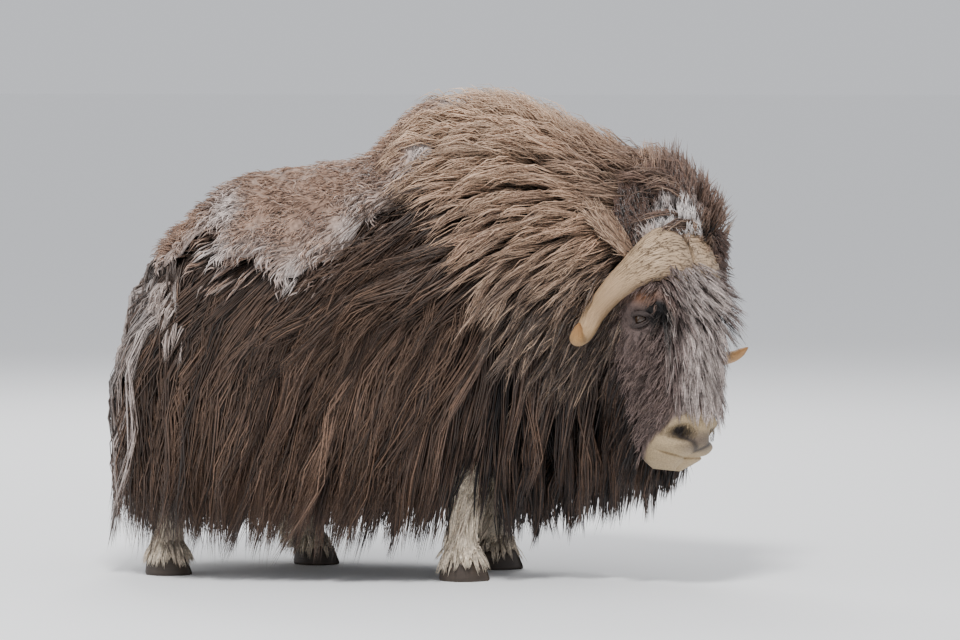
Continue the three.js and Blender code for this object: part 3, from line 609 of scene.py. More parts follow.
def closed_net(grid):
    """Corners and faces of a tube from a grid of points [along, around], closed at both ends"""
    n, m = grid.shape[:2]
    i, j = np.meshgrid(np.arange(n - 1), np.arange(m), indexing="ij")
    k = (j + 1) % m
    walls = np.stack([i * m + j, i * m + k, (i + 1) * m + k, (i + 1) * m + j], -1).reshape(-1, 4)
    spokes = np.arange(m)
    caps = [
        np.stack([0 * spokes + n * m, (spokes + 1) % m, spokes], -1),
        np.stack([0 * spokes + n * m + 1, (n - 1) * m + spokes, (n - 1) * m + (spokes + 1) % m], -1),
    ]
    points = np.vstack([grid.reshape(-1, 3), grid[0].mean(0), grid[-1].mean(0)])
    return points, [*map(tuple, walls), *map(tuple, np.vstack(caps))]


def mesh_object(name, points, faces, materials):
    """A smooth object, with its faces turned outwards"""
    mesh = bpy.data.meshes.new(name)
    mesh.from_pydata(np.asarray(points).tolist(), [], faces)
    net = bmesh.new()
    net.from_mesh(mesh)
    bmesh.ops.recalc_face_normals(net, faces=net.faces)
    net.to_mesh(mesh)
    net.free()
    mesh.shade_smooth()
    for material in materials:
        mesh.materials.append(material)
    made = bpy.data.objects.new(name, mesh)
    bpy.context.scene.collection.objects.link(made)
    return made


def skin_grid(stack, low, high, slices, sides):
    """Points of the skin over a run of a stack"""
    u = np.linspace(low, high, slices)[:, None]
    turn = np.linspace(-math.pi, math.pi, sides, endpoint=False)[None, :]
    return stack.point(*np.broadcast_arrays(u, turn), SKIN_SHARE)


# %% The head's bumps
def mound(place, at, size, height):
    """A soft rise at a place in the head, given forward, out and up, alike on both sides"""
    q = (np.stack([place[..., 0], np.abs(place[..., 1]), place[..., 2]], -1) - at) / size
    return height * np.exp(-(q**2).sum(-1))


def mouth_height(turn):
    """The height of the mouth's line, which rises a little towards its corners"""
    return -0.618 + 0.014 * np.abs(turn / math.radians(85)) ** 1.6


def sculpted_head(slices=230, sides=200):
    """The head's net, closer about the muzzle and at the height of the eyes"""
    spots = np.linspace(0, 1, slices)
    heights = [-0.658, -0.635, -0.500, -0.300, -0.190, -0.038]
    u = np.interp(spots, [0, 0.12, 0.50, 0.62, 0.80, 1], heights)[:, None]
    turn = np.linspace(-math.pi, math.pi, sides, endpoint=False)[None, :]
    u, turn = np.broadcast_arrays(u, turn)
    grid = head.point(u, turn, SKIN_SHARE)
    place = head_place(grid)
    out = head.outward(grid)
    lift = mound(place, (-0.010, 0.100, -0.190), (0.050, 0.030, 0.026), 0.014)  # brow
    lift += mound(place, (-0.034, 0.110, -0.236), (0.050, 0.040, 0.042), 0.009)  # rim of the socket
    lift -= mound(place, (-0.026, 0.122, -0.240), (0.024, 0.040, 0.020), 0.020)  # socket
    lift -= mound(place, (0.030, 0.110, -0.262), (0.026, 0.040, 0.030), 0.008)  # tear pit
    lift += mound(place, (-0.060, 0.100, -0.330), (0.070, 0.050, 0.050), 0.012)  # cheekbone
    lift += mound(place, (0.116, 0.054, -0.524), (0.034, 0.026, 0.024), 0.018)  # wing of the nostril
    lift -= mound(place, (0.134, 0.056, -0.546), (0.030, 0.023, 0.021), 0.036)  # nostril
    lift -= mound(place, (0.112, 0.080, -0.556), (0.026, 0.016, 0.010), 0.018)  # its slit
    lift -= mound(place, (0.110, 0.000, -0.650), (0.050, 0.070, 0.030), 0.034)  # the chin falls back
    lift -= mound(place, (0.140, 0.000, -0.618), (0.040, 0.070, 0.024), 0.030)  # under the pad
    lift += mound(place, (0.150, 0.000, -0.556), (0.030, 0.030, 0.030), 0.007)  # pad between them
    lift += mound(place, (0.090, 0.060, -0.586), (0.060, 0.040, 0.016), 0.010)  # upper lip
    forward = smooth(1.6, 1.1, np.abs(turn))
    line = u - mouth_height(turn)
    lift -= 0.008 * np.exp(-((line / 0.0035) ** 2)) * forward  # the mouth
    lift += 0.003 * np.exp(-(((line - 0.011) / 0.008) ** 2)) * forward  # the lips beside it
    lift += 0.003 * np.exp(-(((line + 0.011) / 0.008) ** 2)) * forward
    return grid + out * lift[..., None]


# %% The ears
EAR_ROOT, EAR_TIP = (-0.088, 0.118, -0.060), (-0.170, 0.232, 0.052)


def ear_grid(side, rings=26, sides=28):
    """A leaf-shaped cup behind the horn, hollowed on its front"""
    t = np.linspace(0, 1, rings)[:, None]
    around = np.linspace(0, 2 * math.pi, sides, endpoint=False)[None, :]
    t, around = np.broadcast_arrays(t, around)
    spread = np.sin(math.pi * (0.16 + 0.8 * t)) ** 0.8
    middle = [EAR_ROOT[k] + (EAR_TIP[k] - EAR_ROOT[k]) * t for k in range(3)]
    middle[2] = middle[2] + 0.014 * np.sin(math.pi * t)
    across, deep = 0.031 * spread * np.cos(around), 0.016 * spread * np.sin(around)
    deep = np.where(deep > 0, 0.1 * deep - 0.006 * spread, deep)
    way_across, way_deep = (-0.3, -0.55, 0.85), (0.93, -0.2, 0.3)
    f, l, w = (m + across * a + deep * d for m, a, d in zip(middle, way_across, way_deep))
    return in_head(f, side * l, w)


# %% The tail's flesh
def tail_grid():
    """A short stump that tapers and bends down"""
    t = np.linspace(0, 1, 14)[:, None]
    around = np.linspace(0, 2 * math.pi, 20, endpoint=False)[None, :]
    size = 0.026 + (0.009 - 0.026) * t**2
    x = -0.806 - 0.062 * np.sin(t * math.pi / 2) + 0.6 * size * np.cos(around)
    z = 0.885 - 0.020 * t - 0.090 * t**2 + 0 * around
    return np.stack([x, size * np.sin(around), z], -1) + np.array(shift)


# %% Joining the flesh
parts = [mesh_object("flesh", *closed_net(skin_grid(trunk, -0.822, 0.848, 124, 110)), [])]
parts.append(mesh_object("head", *closed_net(sculpted_head()), []))
for side in (-1, 1):
    parts.append(mesh_object("ear", *closed_net(ear_grid(side)), []))
parts.append(mesh_object("tail", *closed_net(tail_grid()), []))
for name, leg in LEGS.items():
    grid = skin_grid(leg_stacks[name], HOOF_HEIGHT + 0.001, leg["top"], 40, 36)
    parts.append(mesh_object(name, *closed_net(grid), []))

flesh = parts[0]
for other in parts[1:]:
    weld = flesh.modifiers.new("weld", "BOOLEAN")
    weld.operation, weld.solver, weld.object = "UNION", "MANIFOLD", other
welded = bpy.data.meshes.new_from_object(flesh.evaluated_get(bpy.context.evaluated_depsgraph_get()))
for other in parts:
    bpy.data.objects.remove(other)
welded.name = "skin"
welded.shade_smooth()
skin = bpy.data.objects.new("skin", welded)
bpy.context.scene.collection.objects.link(skin)
print("skin:", len(welded.polygons), "faces")


# %% [markdown]
# ## The skin's colour and its map
#
# Each face of the skin belongs to the part whose surface it lies on. Its place on the unwrap is
# its height and turn on that part, so the map follows the skin's own shape from every side. The
# trunk takes the lower half of the map, and head and legs share the upper half.

# %% Whose surface, which colour, where on the map
PLACES = {"trunk": (0.01, 0.01, 0.98, 0.48), "head": (0.01, 0.51, 0.48, 0.48)}
for k, name in enumerate(LEGS):
    PLACES[name] = (0.51 + 0.24 * (k % 2), 0.51 + 0.24 * (k // 2), 0.23, 0.23)
STACKS = {"trunk": trunk, "head": head, **leg_stacks}


def on_map(part, p):
    """Where points of a part lie on the unwrap"""
    stack = STACKS[part]
    u, turn = stack.uv(p)
    left, bottom, wide, high = PLACES[part]
    along = np.clip((u - stack.rows[0, 0]) / (stack.rows[-1, 0] - stack.rows[0, 0]), 0, 1)
    return np.stack([left + wide * along, bottom + high * (turn / math.pi * 0.49 + 0.5)], -1)


def how_far(stack, p):
    """How far points lie from a stack's skin, roughly, in shares of its size"""
    q = stack.local(p)
    centre, high, half, crest, side = stack.shape(q[:, 0])
    raised = SKIN_SHARE * stack.depth(np.arctan2(q[:, 2] / half, (q[:, 1] - centre) / high), crest, side)
    filled = (
        np.abs((q[:, 1] - centre) / (high + raised)) ** stack.power
        + np.abs(q[:, 2] / (half + raised)) ** stack.power
    )
    outside = np.maximum(0, stack.rows[0, 0] - q[:, 0]) + np.maximum(0, q[:, 0] - stack.rows[-1, 0])
    return np.abs(filled ** (1 / stack.power) - 1) + 20 * outside


def colour_of(part, p):
    """The marking of a part at points"""
    if part == "trunk":
        return trunk_colour(p)
    return head_colour(p) if part == "head" else leg_colour(p)


def give_paint(mesh, colours):
    """The colour of each corner, where the materials read it"""
    layer = mesh.color_attributes.new("paint", "FLOAT_COLOR", "POINT")
    solid = np.hstack([colours, np.ones((len(colours), 1))])
    layer.data.foreach_set("color", solid.astype(np.float32).ravel())


def give_map(mesh, places):
    """The unwrap, given the place of each corner of each face"""
    layer = mesh.uv_layers.new(name="OFBake")
    layer.data.foreach_set("uv", places.astype(np.float32).ravel())


count = len(welded.vertices)
points = np.empty(3 * count, np.float32)
welded.vertices.foreach_get("co", points)
points = points.reshape(-1, 3).astype(float)
names = list(STACKS)
owner = np.argmin([how_far(STACKS[n], points) for n in names], axis=0)
colours, places = np.zeros((count, 3)), np.zeros((count, 2))
for k, part in enumerate(names):
    mine = owner == k
    colours[mine], places[mine] = colour_of(part, points[mine]), on_map(part, points[mine])
give_paint(welded, SKIN_SHADE * colours)
loops = np.empty(len(welded.loops), np.int32)
welded.loops.foreach_get("vertex_index", loops)
starts = np.array([p.loop_start for p in welded.polygons])
sizes = np.array([p.loop_total for p in welded.polygons])
face_of = np.repeat(np.arange(len(starts)), sizes)
first = loops[starts][face_of]
uv = places[loops]
far = np.abs(uv - places[first]).max(1) > 0.1
uv[far] = places[first][far]
for layer in list(welded.uv_layers):
    welded.uv_layers.remove(layer)
give_map(welded, uv)


# %% The skin's finish
def skin_material():
    """Short fur that lies flat is bump, and the bare muzzle is finely pored"""
    m = painted("skin", 0.62, 0.3, 0.1, 260, 0.25)
    place = m.coordinates()
    fur = m.node("TexNoise", {"Scale": 320, "Detail": 4, "Vector": place})
    pores = m.node("TexVoronoi", {"Scale": 380, "Vector": place})
    both = m.node("Math", {0: fur.outputs["Fac"], 1: pores.outputs["Distance"]}, operation="ADD")
    m.bump(both.outputs["Value"], 0.5, 0.0015)
    return m.made


skin_finish = skin_material()
welded.materials.clear()
welded.materials.append(skin_finish)
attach(skin, "root")
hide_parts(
    *("head", "neck", "torso", "rump", "flank_right", "flank_left", "tail", "ear_right", "ear_left"),
    *(f"leg_{name}" for name in LEGS),
)


# %% [markdown]
# ## Eyes and lids
#
# A muskox's eye is dark brown with a long level pupil, and little of it shows between heavy lids.
# The ball is the solid's own size. The lids are bent rolls that taper into the corners, and finer
# rolls over them make the folds that the photograph shows above the eye.

# %% Eyes
def eye_material():
    m = Material("eye", (0.012, 0.008, 0.006), 0.22)
    m.give(m.shader, "Coat Weight", 0.25)
    noise = m.node("TexNoise", {"Scale": 260, "Vector": m.coordinates()})
    m.shades(noise.outputs["Fac"], [(0, (0.006, 0.004, 0.003)), (1, (0.045, 0.022, 0.010))])
    return m.made


def ball_grid(centre, radius, rings=20, sides=28):
    rise = np.linspace(0.02, math.pi - 0.02, rings)[:, None]
    around = np.linspace(0, 2 * math.pi, sides, endpoint=False)[None, :]
    f = centre[0] + radius * np.sin(rise) * np.cos(around)
    l = centre[1] + radius * np.sin(rise) * np.sin(around)
    return in_head(f, l, centre[2] + radius * np.cos(rise) + 0 * around)


def lid_grid(side, over, spread, roll, rings=22, sides=12):
    """A roll over one side of the ball, from corner to corner; over is 1 above and -1 below"""
    swing = np.linspace(0, math.pi, rings)[:, None]
    around = np.linspace(0, 2 * math.pi, sides, endpoint=False)[None, :]
    reach = EYE["radius"] * spread
    arch = 0.42 if over > 0 else 0.55
    f = EYE["f"] - reach * 1.25 * np.cos(swing)
    w = EYE["w"] + over * (reach * arch) * np.sin(swing) - 0.003 - 0.004 * np.cos(swing)
    l = EYE["l"] + EYE["radius"] * (0.30 + 0.66 * np.sin(swing)) - 0.10 * EYE["radius"] * (spread - 1.1)
    thick = roll * (0.35 + 0.65 * np.sin(swing))
    return in_head(
        f + 0 * around, side * (l + thick * np.cos(around)), w + over * thick * (1 + np.sin(around))
    )


eye_finish = eye_material()
for side, word in SIDES:
    ball = mesh_object(
        f"eyeball_{word}",
        *closed_net(ball_grid((EYE["f"], side * EYE["l"], EYE["w"]), EYE["radius"])),
        [eye_finish],
    )
    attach(ball, "root")
    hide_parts(f"eye_{word}")

# each roll: above or below, how far out, how thick
rolls = [(1, 1.10, 0.0050), (-1, 1.10, 0.0045), (1, 1.45, 0.0042), (1, 1.85, 0.0036), (-1, 1.5, 0.0036)]
lid_points, lid_faces = [], []
for side in (-1, 1):
    for over, spread, roll in rolls:
        corners, faces = closed_net(lid_grid(side, over, spread, roll))
        lid_faces += [tuple(v + sum(map(len, lid_points)) for v in face) for face in faces]
        lid_points.append(corners)
lids = mesh_object("lids", np.vstack(lid_points), lid_faces, [skin_finish])
lid_paint = blend(FACE, paint(30, 25, 24), 0.8 * np.ones(len(lids.data.vertices)))
give_paint(lids.data, lid_paint)
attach(lids, "root")


# %% [markdown]
# ## Horns
#
# The two horns meet in a wide boss over the forehead, rough and cracked like old bark, and each
# runs down beside the cheek and turns up in a smooth point. Each is a tube along one curve whose
# section turns from a broad plate to a circle. Ridges along the plate are real relief. The finer
# cracks are bump, drawn on the horn's own map so that they run along it.

# %% Horns
def curve_through(points, count):
    """Even steps along a centripetal Catmull-Rom curve, as the solids have it"""
    points = np.asarray(points, float)
    padded = np.vstack([2 * points[0] - points[1], points, 2 * points[-1] - points[-2]])
    spots = np.linspace(0, len(points) - 1, count)
    i = np.minimum(spots.astype(int), len(points) - 2)
    t = (spots - i)[:, None]
    p0, p1, p2, p3 = (padded[i + k] for k in range(4))
    gaps = ((p0, p1), (p1, p2), (p2, p3))
    d0, d1, d2 = (np.sqrt(np.linalg.norm(a - b, axis=1, keepdims=True)) for a, b in gaps)
    lean1 = ((p1 - p0) / d0 - (p2 - p0) / (d0 + d1) + (p2 - p1) / d1) * d1
    lean2 = ((p2 - p1) / d1 - (p3 - p1) / (d1 + d2) + (p3 - p2) / d2) * d1
    rise = t * t * (3 - 2 * t)
    return p1 * (1 - rise) + p2 * rise + lean1 * (t**3 - 2 * t**2 + t) + lean2 * (t**3 - t**2)


def horn_grid(side, rings=150, sides=64):
    """Points of a horn, and for each its run from root to tip and its turn"""
    rows = np.array(HORN_LINE, float)
    line = curve_through(in_head(rows[:, 0] * MM, side * rows[:, 1] * MM, rows[:, 2] * MM), rings)
    along = unit(np.gradient(line, axis=0))
    along[0] = HEAD[:3, :3] @ (0, side, 0)
    run = np.linspace(0, 1, rings)
    spot = run * (len(rows) - 1)
    deep, thick, tilt = (np.interp(spot, np.arange(len(rows)), rows[:, k]) for k in (3, 4, 5))
    tilt = np.radians(tilt)
    way = np.stack([np.cos(tilt), 0 * tilt, -np.sin(tilt)], -1) @ HEAD[:3, :3].T
    way = unit(way - along * (way * along).sum(1, keepdims=True))
    over = np.cross(along, way)
    close = np.sqrt(np.clip((1 - run) / 0.05, 0.02, 1))
    deep, thick = deep * MM * close, thick * MM * close
    around = np.linspace(0, 2 * math.pi, sides, endpoint=False)[None, :]
    boss = smooth(0.42, 0.22, run)[:, None]
    wavy = np.sin(around * 15 + 2.2 * np.sin(run[:, None] * 26))
    wavy = wavy + 0.6 * np.sin(around * 27 + 40 * run[:, None] + 1)
    relief = 1 + boss * 0.016 * wavy - 0.012 * boss
    relief = relief - 0.05 * smooth(0.035, 0.0, run)[:, None]
    wide = way[:, None] * (deep[:, None] * np.cos(around) * relief)[..., None]
    tall = over[:, None] * (thick[:, None] * np.sin(around) * relief)[..., None]
    return line[:, None] + wide + tall, run, around[0]


def horn_material():
    """Bark-like plates on the boss, with dark cracks, that turn smooth and amber to the tip"""
    m = Material("horn", (0.4, 0.3, 0.2), 0.45)
    place = m.node("Attribute", attribute_name="grain").outputs["Vector"]
    run = m.node("SeparateXYZ", {"Vector": place}).outputs["X"]

    def stretched(along, around):
        made = m.node("VectorMath", {0: place, 1: (along, around, around)}, operation="MULTIPLY")
        return made.outputs["Vector"]

    def share(value, low, high):
        ends = {"From Min": low, "From Max": high, "Value": value}
        return m.node("MapRange", ends, interpolation_type="SMOOTHSTEP").outputs["Result"]

    bark = stretched(14, 60)
    warp = m.node("TexNoise", {"Scale": 3, "Detail": 4, "Vector": bark})
    moved = m.node("VectorMath", {0: bark, 1: warp.outputs["Color"]})
    plates = m.node("TexVoronoi", {"Scale": 1, "Vector": moved.outputs["Vector"]}, feature="DISTANCE_TO_EDGE")
    solid = m.node("MapRange", {"From Max": 0.06, "Value": plates.outputs["Distance"]})
    boss = share(run, 0.42, 0.26)
    fibre = m.node("TexNoise", {"Detail": 6, "Scale": 1, "Vector": stretched(12, 150)})
    # beside the cleft the striations run along it
    ridges = m.node("TexNoise", {"Detail": 4, "Scale": 1, "Vector": stretched(190, 9)})
    near = share(run, 0.16, 0.04)
    both = {"Factor": near, "A": fibre.outputs["Fac"], "B": ridges.outputs["Fac"]}
    lines = m.node("Mix", both).outputs["Result"]
    stops = [(0.0, (196, 168, 138)), (0.34, (190, 160, 126)), (0.55, (176, 144, 108)),
             (0.76, (206, 172, 132)), (0.9, (206, 158, 104)), (1.0, (170, 118, 66))]
    base = m.ramp(run, [(at, paint(*colour)) for at, colour in stops])
    ends = {"From Min": 0.3, "From Max": 0.7, "To Min": 0.35, "To Max": 1.15}
    grey = m.node("MapRange", {**ends, "Value": lines})
    both = {"Factor": 0.55, "A": base, "B": grey.outputs["Result"]}
    shade = m.node("Mix", both, data_type="RGBA", blend_type="MULTIPLY")
    gap = m.node("Math", {0: 1, 1: solid.outputs["Result"]}, operation="SUBTRACT")
    crack = m.node("Math", {0: gap.outputs["Value"], 1: boss}, operation="MULTIPLY")
    dark = crack.outputs["Value"]
    both = {"Factor": dark, "A": shade.outputs["Result"], "B": (*paint(88, 68, 50), 1)}
    cracked = m.node("Mix", both, data_type="RGBA")
    m.give(m.shader, "Base Color", cracked.outputs["Result"])
    height = m.node("Math", {0: dark, 1: -1.2, 2: lines}, operation="MULTIPLY_ADD")
    m.bump(height.outputs["Value"], 0.8, 0.004)
    return m.made


horn_finish = horn_material()
for side, word in SIDES:
    grid, run, around = horn_grid(side)
    made = mesh_object(f"horn_{word}_worn", *closed_net(grid), [horn_finish])
    across = 0.5 + 0.16 * np.cos(around), 0.5 + 0.16 * np.sin(around)
    grain = np.stack(np.broadcast_arrays(run[:, None], *across), -1)
    grain = np.vstack([grain.reshape(-1, 3), grain[0].mean(0), grain[-1].mean(0)])
    layer = made.data.attributes.new("grain", "FLOAT_VECTOR", "POINT")
    layer.data.foreach_set("vector", grain.astype(np.float32).ravel())
    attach(made, "root")
    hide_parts(f"horn_{word}")


# %% [markdown]
# ## Hooves
#
# Each foot is two broad round claws with a deep cleft, like a pair of cupped hands. They stand on
# the solid's own flat sole. A claw is half of a rounded block, leaning in towards its partner.

# %% Hooves
def claw_grid(leg, half_side, rings=16, sides=40):
    """One claw, from the sole up to the hair"""
    wide = 1.08 if leg["slices"] is FORELEG_SLICES else 1.0
    t = np.linspace(0, 1, rings)[:, None]
    around = np.linspace(0, 2 * math.pi, sides, endpoint=False)[None, :]
    shrink = (1 - 0.18 * t) * (1 - 0.06 * (2 * t - 1) ** 8) * wide
    reach = 0.066 + 0.005 * smooth(0, 1, np.cos(around))
    x = leg["x"] + 0.008 - 0.008 * t + reach * shrink * signed_power(np.cos(around), 0.8)
    inner = 0.0035 * (1 - 0.4 * t) * (1 + 1.6 * smooth(0.2, 1, np.cos(around)))
    across = 0.5 * (1 + half_side * signed_power(np.sin(around), 0.9))
    outer = 0.054 * shrink * np.sqrt(np.clip(1 - ((x - leg["x"]) / (0.073 * shrink)) ** 2, 0.03, 1))
    y = leg["y"] + half_side * (inner + (outer - inner) * (across if half_side > 0 else 1 - across))
    z = HOOF_HEIGHT * t + 0 * around
    return np.stack([x, y, z], -1) + np.array(shift)


def hoof_material():
    m = Material("hoof", (0.03, 0.024, 0.02), 0.5)
    squash = m.node("Mapping", {"Scale": (12, 12, 160), "Vector": m.coordinates()})
    bands = m.node("TexNoise", {"Scale": 1, "Detail": 5, "Vector": squash.outputs["Vector"]}).outputs["Fac"]
    m.shades(bands, [(0, paint(30, 25, 22)), (1, paint(78, 64, 52))])
    m.bump(bands, 0.5, 0.0015)
    return m.made


hoof_finish = hoof_material()
for name, leg in LEGS.items():
    claws, faces = [], []
    for half_side in (-1, 1):
        corners, net = closed_net(claw_grid(leg, half_side))
        faces += [tuple(v + len(corners) * (half_side > 0) for v in face) for face in net]
        claws.append(corners)
    made = mesh_object(f"claws_{name}", np.vstack(claws), faces, [hoof_finish])
    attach(made, "root")
    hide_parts(f"hoof_{name}")


# %% [markdown]
# ## How a coat is laid
#
# Real hair clumps. Neighbouring strands cling to one another and draw together towards the tip, so
# a coat is laid in two steps. First come guides, one for each clump: a guide leaves the skin along
# the lie of the coat, rises through it, and hangs once it has passed the widest part of the body.
# Then each tuft copies the guide nearest its own root, and closes in on it as it goes. A tuft is a
# thin bar with three sides that tapers to a point, so light runs along it as along real hair.

# %% Guides
def parting(p):
    """How much higher the hem is over the near foreleg, where the hair parts"""
    near = smooth(0.02, -0.06, p[:, 1]) * (p[:, 2] < 0.6)
    return 0.20 * near * np.exp(-(((p[:, 0] - shift.x - 0.135) / 0.055) ** 4))


FORWARD = 0.05  # hanging hair leans forward by this much where nothing sweeps it back


def drape(body, root, lie, length, weight, reach, clings, floor, sweep, fall, steps=14):
    """Paths of guides [guide, step, 3] from the skin, lifted to a share of the coat's depth

    On the body a guide bends down by weight, and past its widest part by fall; sweep is how far
    hanging hair trails behind, and a guide ends at its floor."""
    at, heading = root.copy(), unit(lie)
    step = (length / steps)[:, None]
    path = [at]
    ended = np.zeros(len(root), bool)
    for k in range(1, steps + 1):
        q = body.local(at)
        hangs = clings & (q[:, 1] < body.shape(q[:, 0])[0])
        pull = np.where(hangs, fall, 10 * weight)
        heading = heading.copy()
        heading[:, 2] -= pull * step[:, 0]
        heading[:, 0] -= (sweep * smooth(-0.80, -0.30, at[:, 0]) - FORWARD) * pull * step[:, 0]
        heading = unit(heading)
        share = SKIN_SHARE + (reach - SKIN_SHARE) * min(1, 1.7 * k / steps)
        there = body.settle(at + heading * step, share, clings & ~hangs)
        ended |= there[:, 2] < floor + (parting(there) if body is trunk else 0)
        there = np.where(ended[:, None], at, there)
        heading = np.where(ended[:, None], heading, unit(there - at))
        path.append(there)
        at = there
    path = np.stack(path, 1)
    # a guide that has met its floor is spread over the steps that it has left
    run = np.linalg.norm(np.diff(path, axis=1), axis=2).cumsum(1)
    run = np.hstack([np.zeros((len(run), 1)), run])
    total = np.maximum(run[:, -1:], 1e-4)
    return resample(path, run / total, np.linspace(0, 1, steps + 1)[None].repeat(len(path), 0)), total[:, 0]


def resample(path, run, wanted):
    """Points of paths at wanted shares of their run, one row of shares for each path"""
    rows = np.arange(len(path))[:, None]
    i = np.clip((run[:, None, :] <= wanted[..., None]).sum(-1) - 1, 0, path.shape[1] - 2)
    a, b = run[rows, i], run[rows, i + 1]
    t = np.clip((wanted - a) / np.maximum(b - a, 1e-9), 0, 1)[..., None]
    return path[rows, i] * (1 - t) + path[rows, i + 1] * t


# %% Tufts
def scatter(stack, us, turns, count, draw):
    """Roots spread evenly over a patch of a stack, given by its run of u and of turn"""
    u = draw.uniform(*us, 3 * count)
    turn = draw.uniform(*np.radians(turns), 3 * count)

    def gap(du, dturn):
        ahead = stack.point(u + du, turn + dturn, SKIN_SHARE)
        return np.linalg.norm(ahead - stack.point(u - du, turn - dturn, SKIN_SHARE), axis=1)

    area = gap(0.002, 0) * gap(0, 0.02)
    kept = draw.uniform(0, np.quantile(area, 0.98), len(u)) < area
    u, turn = u[kept][:count], turn[kept][:count]
    return u, turn, stack.point(u, turn, SKIN_SHARE)


def nearest(points, centres):
    """For each point, the number of the centre nearest to it"""
    tree = kdtree.KDTree(len(centres))
    for k, p in enumerate(centres):
        tree.insert(p, k)
    tree.balance()
    return np.array([tree.find(p)[1] for p in points])


def bars(paths, out, width, flat=0.45):
    """Corners [tuft, corner, 3] of three-sided bars along paths, wide in the middle, ending in a point"""
    along = unit(np.gradient(paths, axis=1))
    across = unit(np.cross(along, out))
    over = np.cross(across, along)
    t = np.linspace(0, 1, paths.shape[1])[None, :, None]
    size = width[:, None, None] * (0.55 + 1.2 * t) * (1 - t) ** 0.75 * 0.9
    edges = [paths - across * size / 2, paths + across * size / 2, paths + over * size * flat]
    rings = np.stack(edges, 2)[:, :-1]
    return np.concatenate([rings.reshape(len(paths), -1, 3), paths[:, -1:]], 1)


def bar_faces(steps):
    """Walls of one bar as quads, and its end faces as triangles, in its own corner numbers"""
    pairs = ((0, 2), (2, 1), (1, 0))
    quads = [(3 * k + a, 3 * k + b, 3 * k + 3 + b, 3 * k + 3 + a) for k in range(steps - 2) for a, b in pairs]
    end = 3 * (steps - 2)
    tris = [(end + a, end + b, end + 3) for a, b in pairs] + [(0, 1, 2)]
    return np.array(quads), np.array(tris)


PATCH = 0.003  # a tuft's size on the map
coat_sizes = []


def tuft_object(name, kind, corners, colours, roots, steps):
    """One piece of coat: corners [tuft, corner, 3], their colours, and the roots' places on the map"""
    material, slot = kind
    tufts, each = corners.shape[:2]
    quads, tris = bar_faces(steps)
    base = (np.arange(tufts) * each)[:, None, None]
    loops = np.concatenate([(quads[None] + base).reshape(-1), (tris[None] + base).reshape(-1)])
    totals = np.concatenate([np.full(tufts * len(quads), 4), np.full(tufts * len(tris), 3)])
    mesh = bpy.data.meshes.new(name)
    mesh.vertices.add(tufts * each)
    mesh.vertices.foreach_set("co", corners.astype(np.float32).ravel())
    mesh.loops.add(len(loops))
    mesh.loops.foreach_set("vertex_index", loops.astype(np.int32))
    mesh.polygons.add(len(totals))
    starts = np.concatenate([[0], totals.cumsum()[:-1]])
    mesh.polygons.foreach_set("loop_start", starts.astype(np.int32))
    mesh.update(calc_edges=True)
    mesh.shade_smooth()
    give_paint(mesh, np.clip(colours, 0, 1).reshape(-1, 3))
    # each tuft is a small patch of the map at its root: across it sideways, root to tip upwards
    ring = np.minimum(np.arange(each) // 3, steps - 1)
    patch = np.stack([np.array([0, 1, 0.5] * steps)[:each], ring / (steps - 1)], -1) * PATCH
    patch[-1, 0] = PATCH / 2
    give_map(mesh, (roots[:, None] + patch[None]).reshape(-1, 2)[loops])
    mesh.materials.append(material)
    made = bpy.data.objects.new(name, mesh)
    bpy.context.scene.collection.objects.link(made)
    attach(made, "root")
    coat_sizes.append(tufts * (2 * len(quads) + len(tris)))
    print(f"{name}: {tufts} tufts, {coat_sizes[-1]} triangles")
    return made


def own_tufts(name, kind, part, root, paths, out, width, base, shade=(1, 1)):
    """A piece of coat from ready paths, each tuft in one colour, which painted shade may darken towards its
    root
    """
    corners = bars(paths, out, width)
    # painted shade along each tuft, from shade[0] at the root to shade[1] at the tip
    run = np.linspace(*shade, corners.shape[1])[None, :, None]
    colours = np.repeat(base[:, None], corners.shape[1], 1) * run
    return tuft_object(name, kind, corners, colours, on_map(part, root), paths.shape[1])


# Tips that stray past these limits, behind and at the sides, are drawn back most of the way
REAR, SIDE = -0.925, 0.425
LOWEST = 0.012  # no hair comes nearer to the ground


def held_in(paths):
    """Paths with their stray ends drawn back"""
    x, y, z = np.moveaxis(paths, -1, 0)
    x = np.where(x < REAR, REAR + 0.25 * (x - REAR), x)
    y = np.where(np.abs(y) > SIDE, np.sign(y) * (SIDE + 0.3 * (np.abs(y) - SIDE)), y)
    return np.stack([x, y, z], -1)


